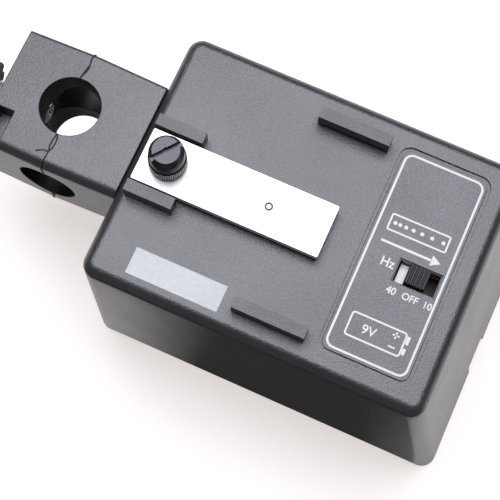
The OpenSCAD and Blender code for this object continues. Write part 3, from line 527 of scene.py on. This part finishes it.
caseShell = {"name": "caseShell", "nodes": ["case_shell"], "body": "case", "slot": "case_plastic",
             "material": "casePlastic", "round": 0.22 * mm, "worn": 60.4 * mm, "second": "bridgePlastic"}
dressNode(caseShell)

bottomCover = {"name": "bottomCover", "nodes": ["bottom_cover"], "body": "bottom_cover",
               "slot": "case_plastic", "material": "casePlastic", "round": 0.25 * mm}
dressNode(bottomCover)

labelPanel = {"name": "labelPanel", "nodes": ["label_plate"], "body": "case", "slot": "label_film",
              "material": "labelPlastic", "round": 0.12 * mm}
dressNode(labelPanel)
print("case dressed")


# Generic switch lettering, and picture signs in place of the label's other words; a rounded plate or
# line is given by its length, width and corner radius
labelPrint = {"name": "labelPrint", "body": "case", "slot": "label_film", "material": "printWhite",
              "height": 0.03 * mm, "sunk": 0.005 * mm, "line": 0.55 * mm,
              "frame": (21.0 * mm, 52.9 * mm, 2.3 * mm), "bold": 0.05 * mm, "squeeze": 0.94,
              "words": (("Hz", (-8.0 * mm, -0.35 * mm), 3.3 * mm), ("40", (-4.6 * mm, -6.25 * mm), 2.6 * mm),
                        ("OFF", (0.3 * mm, -6.25 * mm), 2.5 * mm), ("10", (4.8 * mm, -6.25 * mm), 2.45 * mm)),
              "tape": {"centre": (0.0, 8.3 * mm), "size": (15.6 * mm, 4.6 * mm, 0.6 * mm),
                       "line": 0.45 * mm, "ticks": 7, "tickRadius": 0.5 * mm, "firstTick": 1.6 * mm,
                       "tickStep": 1.25 * mm, "tickGrowth": 0.34 * mm, "arrowDrop": 5.2 * mm,
                       "arrowLine": 0.6 * mm, "headRoom": 2.4 * mm, "headRadius": 1.6 * mm,
                       "headInset": 1.7 * mm},
              "cell": {"centre": (0.0, -19.0 * mm), "size": (14.4 * mm, 6.4 * mm, 0.9 * mm),
                       "line": 0.45 * mm, "posts": ((-1.45 * mm, 1.6 * mm), (1.45 * mm, 2.1 * mm)),
                       "postDepth": 0.9 * mm, "postOut": 0.4 * mm, "poleInset": 2.6 * mm,
                       "poleOffset": 1.5 * mm, "poleLength": 1.8 * mm, "poleLine": 0.38 * mm,
                       "words": "9V", "wordsAt": (-1.8 * mm, -1.2 * mm), "wordsSize": 3.3 * mm,
                       "bold": 0.03 * mm}}


def makeLabelPrint(spec):
    tape, cell = spec["tape"], spec["cell"]
    low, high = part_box("label_plate")
    knobLow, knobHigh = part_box("switch_knob")
    middle, height = (low.x + high.x) / 2, spec["height"]
    slotX, slotY = (knobLow.x + knobHigh.x) / 2 - middle, (knobLow.y + knobHigh.y) / 2
    bm = bmesh.new()

    def put(shape, x=0.0, y=0.0):
        addShape(bm, raiseShape(shape, height), Matrix.Translation((x, y, 0)))

    put(roundedLine(*spec["frame"], spec["line"]))
    for words, (x, y), size in spec["words"]:
        addWords(bm, words, (slotX + x, slotY + y), size, height, spec["bold"], spec["squeeze"])

    # A strip of tape with ticks that spread out as it speeds up, and the way it runs
    tapeX, tapeY = tape["centre"]
    tapeLength = tape["size"][0]
    put(roundedLine(*tape["size"], tape["line"]), tapeX, tapeY)
    along = tapeX - tapeLength / 2 + tape["firstTick"]
    for k in range(tape["ticks"]):
        put(disc(tape["tickRadius"], 14), along, tapeY)
        along += tape["tickStep"] + tape["tickGrowth"] * k
    arrowY = tapeY - tape["arrowDrop"]
    put(roundedPlate(tapeLength - tape["headRoom"], tape["arrowLine"]), tapeX - tape["headRoom"] / 2, arrowY)
    put(disc(tape["headRadius"], 3, math.radians(-90)), tapeX + tapeLength / 2 - tape["headInset"], arrowY)

    # The block battery that it runs on, with its poles
    cellX, cellY = cell["centre"]
    cellEnd = cellX + cell["size"][0] / 2
    put(roundedLine(*cell["size"], cell["line"]), cellX, cellY)
    for y, span in cell["posts"]:
        put(roundedPlate(cell["postDepth"], span), cellEnd + cell["postOut"], cellY + y)
    dash = cell["poleLength"], cell["poleLine"]
    for side, bars in ((1, (dash, dash[::-1])), (-1, (dash,))):
        for bar in bars:
            put(roundedPlate(*bar), cellEnd - cell["poleInset"], cellY + side * cell["poleOffset"])
    wordsX, wordsY = cell["wordsAt"]
    addWords(bm, cell["words"], (cellX + wordsX, cellY + wordsY), cell["wordsSize"], height, cell["bold"])

    bmesh.ops.translate(bm, verts=bm.verts, vec=(middle, 0, high.z - spec["sunk"]))
    mount(finishMesh(bm, spec["name"], spec["material"]), spec)


makeLabelPrint(labelPrint)

sticker = {"name": "sticker", "body": "case", "slot": "label_film", "material": "stickerWhite",
           "centre": (-26.9 * mm, -26.4 * mm), "size": (24.2 * mm, 6.9 * mm, 0.15 * mm), "height": 0.09 * mm,
           "overLabel": 0.1 * mm, "round": 0.03 * mm}


def makeSticker(spec):
    bm = bmesh.new()
    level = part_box("label_plate")[1].z + spec["overLabel"]
    plate = raiseShape(roundedPlate(*spec["size"]), spec["height"])
    addShape(bm, plate, Matrix.Translation((*spec["centre"], level)))
    piece = finishMesh(bm, spec["name"], spec["material"])
    softenEdges(piece, spec["round"])
    mount(piece, spec)


makeSticker(sticker)
print("label and sticker made")


anvilPlate = {"name": "anvilPlate", "nodes": ["anvil_plate"], "body": "case", "slot": "plate_steel",
              "material": "platedSteel", "round": 0.16 * mm}
dressNode(anvilPlate)

# Each step of the rim and of the recess is a move sideways and a depth below the top
discPin = {"name": "discPin", "nodes": ["disc_pin"], "body": "case", "slot": "nickel",
           "material": "rimShadeSteel", "centre": "nickel", "shank": 0.78 * mm, "seat": 0.01 * mm,
           "rim": 1.05 * mm, "rimSteps": ((0.0, 0.12 * mm), (0.08 * mm, 0.03 * mm), (0.22 * mm, 0.0)),
           "recess": 0.56 * mm, "recessDepth": 0.26 * mm,
           "recessSteps": ((0.08 * mm, 0.04 * mm), (0.0, 0.14 * mm))}


def makeDiscPin(spec):
    # A nickel rivet with a dark rolled rim round a bright flat recess; the rim and shank are drawn in a dark
    # metal as painted shade, the recess in bright nickel
    low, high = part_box("disc_pin")
    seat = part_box("anvil_plate")[1].z + spec["seat"]
    floor = high.z - spec["recessDepth"]
    profile = [(0.0, low.z), (spec["shank"], low.z), (spec["shank"], seat), (spec["rim"], seat)]
    profile += [(spec["rim"] - inset, high.z - drop) for inset, drop in spec["rimSteps"]]
    profile += [(spec["recess"] + out, high.z - drop) for out, drop in spec["recessSteps"]]
    profile += [(spec["recess"], floor), (0.0, floor)]
    bm = bmesh.new()
    centre = (low.x + high.x) / 2, (low.y + high.y) / 2, 0
    addShape(bm, turnedShape(profile, 48), Matrix.Translation(centre))
    piece = finishMesh(bm, spec["name"], spec["material"])
    piece.data.materials.append(materials[spec["centre"]])
    for face in piece.data.polygons:
        if face.normal.z > 0.99 and face.center.z < high.z - spec["recessDepth"] / 2:
            face.material_index = 1
    mount(piece, spec)


makeDiscPin(discPin)

# The foot's steps are an inset and a height, and the crown's are an inset and a depth below the top
thumbScrew = {"name": "thumbScrew", "nodes": ["thumb_screw"], "body": "thumb_screw",
              "slot": "blackened_steel", "material": "blackOxide", "crests": "crestHighlightOxide",
              "overPlate": 0.15 * mm, "sharp": math.radians(40),
              "foot": ((0.7 * mm, 0.0), (0.25 * mm, 0.3 * mm), (0.0, 0.5 * mm)), "neck": 0.3 * mm,
              "crown": ((0.38 * mm, 1.6 * mm), (0.55 * mm, 1.15 * mm), (1.1 * mm, 0.6 * mm),
                        (1.24 * mm, 0.12 * mm), (1.35 * mm, 0.0)),
              "grooves": 52, "grooveDepth": 0.24 * mm, "grooveInset": 0.03 * mm, "knurlShare": 0.46,
              "slotWidth": 1.2 * mm, "slotDepth": 1.3 * mm, "slotTurn": 52, "dimple": 0.85 * mm,
              "dimpleTaper": 0.8, "threadRadius": 2.0 * mm, "threadDepth": 0.3 * mm, "pitch": 0.7 * mm,
              "threadInHead": 0.4 * mm}


def cutAway(piece, cutter):
    # Takes the cutter's shape out of a piece for good
    mesh = bpy.data.meshes.new("cutter")
    cutter.to_mesh(mesh)
    cutter.free()
    tool = bpy.data.objects.new("cutter", mesh)
    bpy.context.scene.collection.objects.link(tool)
    cut = piece.modifiers.new("slot", "BOOLEAN")
    cut.operation = "DIFFERENCE"
    cut.solver = "EXACT"
    cut.object = tool
    bpy.context.view_layer.update()
    done = bpy.data.meshes.new_from_object(piece.evaluated_get(bpy.context.evaluated_depsgraph_get()))
    piece.modifiers.clear()
    piece.data = done
    bpy.data.objects.remove(tool)


def makeKnurledHead(spec, radius, tall):
    knurlTop = tall * spec["knurlShare"]
    profile = [(radius - inset, height) for inset, height in spec["foot"]]
    profile += [(radius, knurlTop), (radius - spec["neck"], knurlTop + spec["neck"])]
    profile += [(radius - inset, tall - drop) for inset, drop in spec["crown"]]
    head = turnedShape(profile, spec["grooves"] * 2)
    knurlFoot = spec["foot"][-1][1]
    band = [face for face in head.faces if knurlFoot < face.calc_center_median().z < knurlTop]
    band.sort(key=lambda face: math.atan2(face.calc_center_median().y, face.calc_center_median().x))
    # The crests take the lighter oxide, a painted highlight
    for face in band[1::2]:
        face.material_index = 1
    bmesh.ops.inset_individual(head, faces=band[::2], thickness=spec["grooveInset"],
                               depth=-spec["grooveDepth"])
    return head


def makeThumbScrew(spec):
    low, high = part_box("thumb_screw")
    axis = Vector(((low.x + high.x) / 2, (low.y + high.y) / 2, 0))
    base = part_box("anvil_plate")[1].z + spec["overPlate"]
    radius = (high.x - low.x) / 2
    head = makeKnurledHead(spec, radius, high.z - base)
    bm = bmesh.new()
    addShape(bm, head, Matrix.Translation(axis + Vector((0, 0, base))))
    piece = finishMesh(bm, spec["name"], spec["material"], spec["sharp"])
    piece.data.materials.append(materials[spec["crests"]])
    top = Matrix.Translation(axis + Vector((0, 0, high.z)))
    slotTurn = Matrix.Rotation(math.radians(spec["slotTurn"]), 4, "Z")
    slotSize = Matrix.Diagonal((radius * 3, spec["slotWidth"], 2 * spec["slotDepth"], 1))
    slot = bmesh.new()
    bmesh.ops.create_cube(slot, size=1.0, matrix=top @ slotTurn @ slotSize)
    cutAway(piece, slot)
    dimple = bmesh.new()
    bmesh.ops.create_cone(dimple, cap_ends=True, segments=24, radius1=spec["dimple"] * spec["dimpleTaper"],
                          radius2=spec["dimple"], depth=2 * spec["slotDepth"], matrix=top)
    cutAway(piece, dimple)
    whole = bmesh.new()
    whole.from_mesh(piece.data)
    thread = threadedRod(threadForm, spec["threadRadius"], spec["threadDepth"], spec["pitch"],
                         base + spec["threadInHead"] - low.z)
    addShape(whole, thread, Matrix.Translation(axis + Vector((0, 0, low.z))))
    whole.to_mesh(piece.data)
    whole.free()
    piece.data.set_sharp_from_angle(angle=spec["sharp"])
    mount(piece, spec)


makeThumbScrew(thumbScrew)
print("anvil plate and thumb screw made")


for switchPiece in (
        {"name": "switchFrame", "nodes": ["switch_frame"], "body": "case", "slot": "zinc_steel",
         "material": "zincSteel", "round": 0.1 * mm},
        {"name": "switchHousing", "nodes": ["switch_housing"], "body": "case", "slot": "phenolic",
         "material": "phenolic", "round": 0.15 * mm},
        {"name": "switchSlider", "nodes": ["switch_slider"], "body": "switch_slide", "slot": "white_nylon",
         "material": "whiteNylon", "round": 0.12 * mm,
         "cutBeyond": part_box("switch_knob")[1].x - 0.1 * mm},  # the photo shows a dark gap beyond the knob
        {"name": "switchKnob", "nodes": ["switch_knob"], "body": "switch_slide", "slot": "black_nylon",
         "material": "blackNylon", "round": 0.12 * mm}):
    dressNode(switchPiece)
print("switch dressed")


rodBore = {"x": -70.2 * mm, "y": 3.4 * mm, "z": 45.5 * mm, "radius": 7.75 * mm}

# The clamp block's bore faces take the second, darker black as painted shade inside the bores
for clampPiece in (
        {"name": "clampBlock", "nodes": ["clamp_block"], "body": "case", "slot": "case_plastic",
         "material": "casePlastic", "round": 0.3 * mm, "segments": 3, "second": "boreShadeBlack",
         "bores": [((rodBore["x"], rodBore["y"], 0), (0, 0, 1), rodBore["radius"]),
                   ((rodBore["x"], 0, rodBore["z"]), (0, 1, 0), rodBore["radius"])]},
        {"name": "nutPlate", "nodes": ["nut_plate"], "body": "case", "slot": "zinc_steel",
         "material": "zincSteel", "round": 0.2 * mm},
        {"name": "clampPad", "nodes": ["clamp_pad"], "body": "clamp_pad", "slot": "nickel",
         "material": "nickel", "round": 0.1 * mm},
        {"name": "clampKnob", "nodes": ["clamp_knob"], "body": "clamp_screw", "slot": "knob_black",
         "material": "knobBlack", "round": 0.5 * mm, "segments": 3}):
    dressNode(clampPiece)

clampScrew = {"name": "clampScrew", "nodes": ["clamp_screw"], "body": "clamp_screw", "slot": "zinc_steel",
              "material": "zincSteel", "pitch": 1.27 * mm, "depth": 0.5 * mm, "spigot": 1.2 * mm,
              "spigotRadius": 1.5 * mm, "chamfer": 0.2 * mm, "overlap": 0.1 * mm}


def makeClampScrew(spec):
    low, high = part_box("clamp_screw")
    centre, length = (low + high) / 2, high.x - low.x
    threadEnd, radius = length - spec["spigot"], spec["spigotRadius"]
    bm = bmesh.new()
    addShape(bm, threadedRod(threadForm, (high.y - low.y) / 2, spec["depth"], spec["pitch"], threadEnd))
    start = threadEnd - spec["overlap"]
    addShape(bm, turnedShape([(0.0, start), (radius, start), (radius, length - spec["chamfer"]),
                              (radius - spec["chamfer"], length), (0.0, length)], 24))
    place = Matrix.Translation((low.x, centre.y, centre.z)) @ Matrix.Rotation(math.pi / 2, 4, "Y")
    bmesh.ops.transform(bm, verts=bm.verts, matrix=place)
    mount(finishMesh(bm, spec["name"], spec["material"]), spec)


makeClampScrew(clampScrew)

# The runs, in millimetres, go over the top from the bore to both edges, then down the front past the
# level bore
partingFlash = {"name": "partingFlash", "body": "case", "slot": "case_plastic", "material": "boreShadeBlack",
                "thick": 0.19 * mm, "proud": 0.4, "steps": 4, "runs": (
                    ((-71.3, 10.9, 59.0), (-71.0, 13.0, 59.0), (-70.5, 15.5, 59.0), (-70.8, 17.2, 59.0),
                     (-70.5, 18.9, 58.8), (-70.4, 19.5, 56.5), (-70.5, 19.5, 53.6)),
                    ((-71.2, 11.4, 59.0), (-70.6, 13.2, 59.0), (-70.3, 14.9, 59.0), (-70.5, 15.6, 59.0)),
                    ((-69.9, -4.4, 59.0), (-70.1, -6.2, 59.0), (-70.2, -8.0, 59.0), (-69.8, -9.6, 59.0)),
                    ((-69.6, -4.6, 59.0), (-69.2, -6.4, 59.0), (-69.3, -8.2, 59.0), (-69.8, -9.6, 59.0)),
                    ((-72.9, -10.6, 59.0), (-71.4, -9.7, 59.0), (-70.6, -9.6, 59.0), (-69.8, -9.6, 59.0),
                     (-69.9, -11.4, 59.0), (-70.0, -13.2, 58.2), (-70.0, -14.0, 56.0), (-69.9, -14.0, 53.4)),
                    ((-69.9, -14.2, 37.6), (-69.4, -14.2, 36.4), (-70.2, -14.2, 35.2), (-69.9, -14.2, 33.0)))}


def makePartingFlash(spec):
    # Thin moulding flash where the halves of the mould met, laid on the block's own surface in the darker
    # black of the bores
    block = bmesh.new()
    block.from_mesh(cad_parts["clamp_block"].data)
    surface = BVHTree.FromBMesh(block)
    block.free()
    curve = bpy.data.curves.new("flash", "CURVE")
    curve.dimensions = "3D"
    curve.bevel_depth = spec["thick"]
    curve.bevel_resolution = 1
    curve.use_fill_caps = True
    steps = spec["steps"]
    for run in spec["runs"]:
        spots = [Vector(a).lerp(b, k / steps) * mm for a, b in zip(run, run[1:]) for k in range(steps)]
        line = curve.splines.new("POLY")
        line.points.add(len(spots))
        for point, spot in zip(line.points, spots + [Vector(run[-1]) * mm]):
            place, normal = surface.find_nearest(spot)[:2]
            point.co = (*(place + normal * spec["thick"] * spec["proud"]), 1)
    bm = bmesh.new()
    addCurve(bm, curve, Matrix.Identity(4))
    mount(finishMesh(bm, spec["name"], spec["material"]), spec)


makePartingFlash(partingFlash)
print("rod clamp made")


for leadPiece in (
        {"name": "batteryLeads", "nodes": ["battery_leads"], "body": "case", "slot": "red_wire",
         "material": "redWire", "levels": 1},
        {"name": "coilLeads", "nodes": ["coil_leads"], "body": "case", "slot": "orange_wire",
         "material": "orangeWire", "levels": 1},
        {"name": "switchLeads", "nodes": ["switch_leads"], "body": "case", "slot": "yellow_wire",
         "material": "yellowWire", "levels": 1}):
    dressNode(leadPiece)

batteryPad = {"name": "batteryPad", "nodes": ["battery_pad"], "body": "bottom_cover", "slot": "foam",
              "material": "foam", "round": 0.3 * mm}
dressNode(batteryPad)

# Inside pieces that keep their CAD mesh
insideFinish = {
    "threaded_insert": "brass", "switch_terminals": "brass", "switch_screws": "zincSteel",
    "battery": "batteryJacket", "battery_terminals": "nickel", "battery_snap": "blackVinyl",
    "magnet_yoke": "zincSteel", "yoke_screws": "zincSteel", "magnet_core": "softIron",
    "coil_bobbin": "bobbinNylon", "coil_winding": "copperWinding", "armature_axle": "nickel",
    "armature": "softIron", "striker_pin": "nickel", "return_spring": "springSteel",
    "rest_buffer": "bufferRubber", "circuit_board": "boardGreen", "board_screws": "zincSteel",
    "timer_chip": "chipBlack", "capacitors": "capacitorBlue", "transistor": "chipBlack",
    "trimmers": "trimmerBlue", "resistors": "resistorTan", "block_screws": "zincSteel"}
for node, material in insideFinish.items():
    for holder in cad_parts[node].material_slots:
        holder.link = "OBJECT"
        holder.material = materials[material]
print("inside finished")


def stageMesh(bm, name, material, glossyOnly=False):
    mesh = bpy.data.meshes.new(name)
    bm.to_mesh(mesh)
    bm.free()
    mesh.materials.append(material)
    piece = bpy.data.objects.new(name, mesh)
    bpy.context.scene.collection.objects.link(piece)
    if glossyOnly:
        piece.visible_camera = piece.visible_shadow = False
        piece.visible_diffuse = piece.visible_transmission = False


def stageMaterial(name, color, roughness, glow, level):
    material = bpy.data.materials.new(name)
    material.use_nodes = True
    shader = material.node_tree.nodes["Principled BSDF"].inputs
    for key, value in (("Base Color", (*color, 1)), ("Roughness", roughness), ("Specular IOR Level", 0.0),
                       ("Emission Color", (*glow, 1)), ("Emission Strength", level)):
        shader[key].default_value = value
    return material, material.node_tree, shader


floorLook = {"color": (0.83, 0.8, 0.79), "roughness": 0.9, "nearShadeTint": (1, 0.93, 0.9), "lift": 0.55,
             "fade": (140 * mm, 450 * mm), "size": 4.0, "below": 0.1 * mm}


def makeFloor(spec):
    # White to the camera and to reflections, fully so far from the part, with the shadow left near it; near
    # the part the glow is warm-tinted, a painted warm tone in that shadow
    material, tree, shader = stageMaterial("floorWhite", spec["color"], spec["roughness"],
                                           spec["nearShadeTint"], spec["lift"])
    rays = addNode(tree, "ShaderNodeLightPath").outputs
    seen = compute(tree, "MAXIMUM", rays["Is Camera Ray"], rays["Is Glossy Ray"])
    reach = addNode(tree, "ShaderNodeVectorMath", {0: objectPoint(tree)}, operation="LENGTH")
    away = remap(tree, reach.outputs["Value"], *spec["fade"], 0.0, 1.0)
    lift = remap(tree, away, 0.0, 1.0, spec["lift"], 1.0)
    feed(tree, compute(tree, "MULTIPLY", seen, lift), shader["Emission Strength"])
    feed(tree, mixColors(tree, away, (*spec["nearShadeTint"], 1), (1, 1, 1, 1)), shader["Emission Color"])
    bm = bmesh.new()
    bmesh.ops.create_grid(bm, x_segments=1, y_segments=1, size=spec["size"],
                          matrix=Matrix.Translation((0, 0, -spec["below"])))
    stageMesh(bm, "floor", material)


# Each fade runs along X from a dark place to a bright one, a painted brighter reflection towards the ends of
# the case's front wall; each card spans X, then Y from near to far
roomLook = {"level": 0.07, "radius": 3.5, "foot": 0.5 * mm, "cardHeight": 0.4 * mm,
            "fades": ((-20 * mm, -50 * mm, 1.0), (30 * mm, 46 * mm, 0.3)), "fading": "nearCard",
            "cards": {"nearCard": ((-50 * mm, 46 * mm), (-35 * mm, -58 * mm)),
                      "farCard": ((-900 * mm, 900 * mm), (-58 * mm, -900 * mm)),
                      "boreCard": ((-88 * mm, -54 * mm), (28 * mm, -16 * mm))}}


def makeRoom(spec):
    # A dim room that only reflections see, with dim cards over the floor by the case and the bores: painted
    # dark reflections, darkest in the case's front wall and in the bores
    black, white, level = (0, 0, 0), (1, 1, 1), spec["level"]
    grey = stageMaterial("reflectionRoomGrey", black, 0.5, white, level)[0]
    faded, tree, shader = stageMaterial("reflectionCardFade", black, 0.5, white, level)
    across = addNode(tree, "ShaderNodeSeparateXYZ", {"Vector": objectPoint(tree)}).outputs["X"]
    ends = [remap(tree, across, dark, bright, level, glow) for dark, bright, glow in spec["fades"]]
    feed(tree, compute(tree, "MAXIMUM", *ends), shader["Emission Strength"])
    walls = bmesh.new()
    bmesh.ops.create_uvsphere(walls, u_segments=32, v_segments=16, radius=spec["radius"])
    cutOff(walls, (0, 0, spec["foot"]), (0, 0, -1))
    stageMesh(walls, "room", grey, True)
    for name, ((left, right), (near, far)) in spec["cards"].items():
        card = bmesh.new()
        bmesh.ops.create_grid(card, x_segments=1, y_segments=1, size=0.5)
        middle = Matrix.Translation(((left + right) / 2, (near + far) / 2, spec["cardHeight"]))
        spread = Matrix.Diagonal((right - left, near - far, 1, 1))
        bmesh.ops.transform(card, verts=card.verts, matrix=middle @ spread)
        stageMesh(card, name, faded if name == spec["fading"] else grey, True)


worldLook = {"color": (1, 1, 1, 1), "ambient": 0.18}


def makeWorld(spec):
    # White to the camera, reflections and what is seen through glass, and dim as a light
    world = bpy.data.worlds.new("studio")
    bpy.context.scene.world = world
    world.use_nodes = True
    tree = world.node_tree
    back = tree.nodes["Background"].inputs
    back["Color"].default_value = spec["color"]
    rays = addNode(tree, "ShaderNodeLightPath").outputs
    seen = compute(tree, "MAXIMUM", rays["Is Camera Ray"], rays["Is Glossy Ray"])
    seen = compute(tree, "MAXIMUM", seen, rays["Is Transmission Ray"])
    feed(tree, remap(tree, seen, 0.0, 1.0, spec["ambient"], 1.0), back["Strength"])


keySoftbox = {"direction": (-0.11, 0.26, 0.955), "aim": (-10 * mm, 0, 40 * mm), "distance": 0.9,
              "size": (0.92, 0.69), "power": 8.6, "color": (0.95, 0.965, 1.05)}


def makeLamp(name, spec):
    lamp = bpy.data.lights.new(name, "AREA")
    lamp.shape = "RECTANGLE"
    lamp.size, lamp.size_y = spec["size"]
    lamp.energy = spec["power"]
    lamp.color = spec["color"]
    holder = bpy.data.objects.new(name, lamp)
    bpy.context.scene.collection.objects.link(holder)
    towards = Vector(spec["direction"]).normalized()
    holder.location = Vector(spec["aim"]) + towards * spec["distance"]
    holder.rotation_mode = "QUATERNION"
    holder.rotation_quaternion = towards.to_track_quat("Z", "Y")


# Angles in degrees; the target is what the middle of the picture shows
photoCamera = {"azimuth": 23.39, "elevation": 74.83, "roll": -0.74, "distance": 313.86 * mm,
               "target": (-13.72 * mm, -12.45 * mm, 60.0 * mm), "lens": 93.3, "sensor": 36.0,
               "clip": (0.01, 20.0)}


def makeCamera(spec):
    azimuth, elevation, roll = (math.radians(spec[key]) for key in ("azimuth", "elevation", "roll"))
    back = Vector((math.sin(azimuth) * math.cos(elevation), -math.cos(azimuth) * math.cos(elevation),
                   math.sin(elevation)))
    level = (-back).cross(Vector((0, 0, 1))).normalized()
    down = (-back).cross(level)
    across = level * math.cos(roll) + down * math.sin(roll)
    downward = down * math.cos(roll) - level * math.sin(roll)
    data = bpy.data.cameras.new("camera")
    data.sensor_width = spec["sensor"]
    data.lens = spec["lens"]
    data.clip_start, data.clip_end = spec["clip"]
    holder = bpy.data.objects.new("camera", data)
    bpy.context.scene.collection.objects.link(holder)
    turn = Matrix((across, -downward, back)).transposed()
    holder.matrix_world = Matrix.Translation(Vector(spec["target"]) + back * spec["distance"]) @ turn.to_4x4()
    bpy.context.scene.camera = holder


makeFloor(floorLook)
makeRoom(roomLook)
makeWorld(worldLook)
makeLamp("keySoftbox", keySoftbox)
makeCamera(photoCamera)
bpy.context.scene.view_settings.view_transform = "Standard"

print("stage ready")
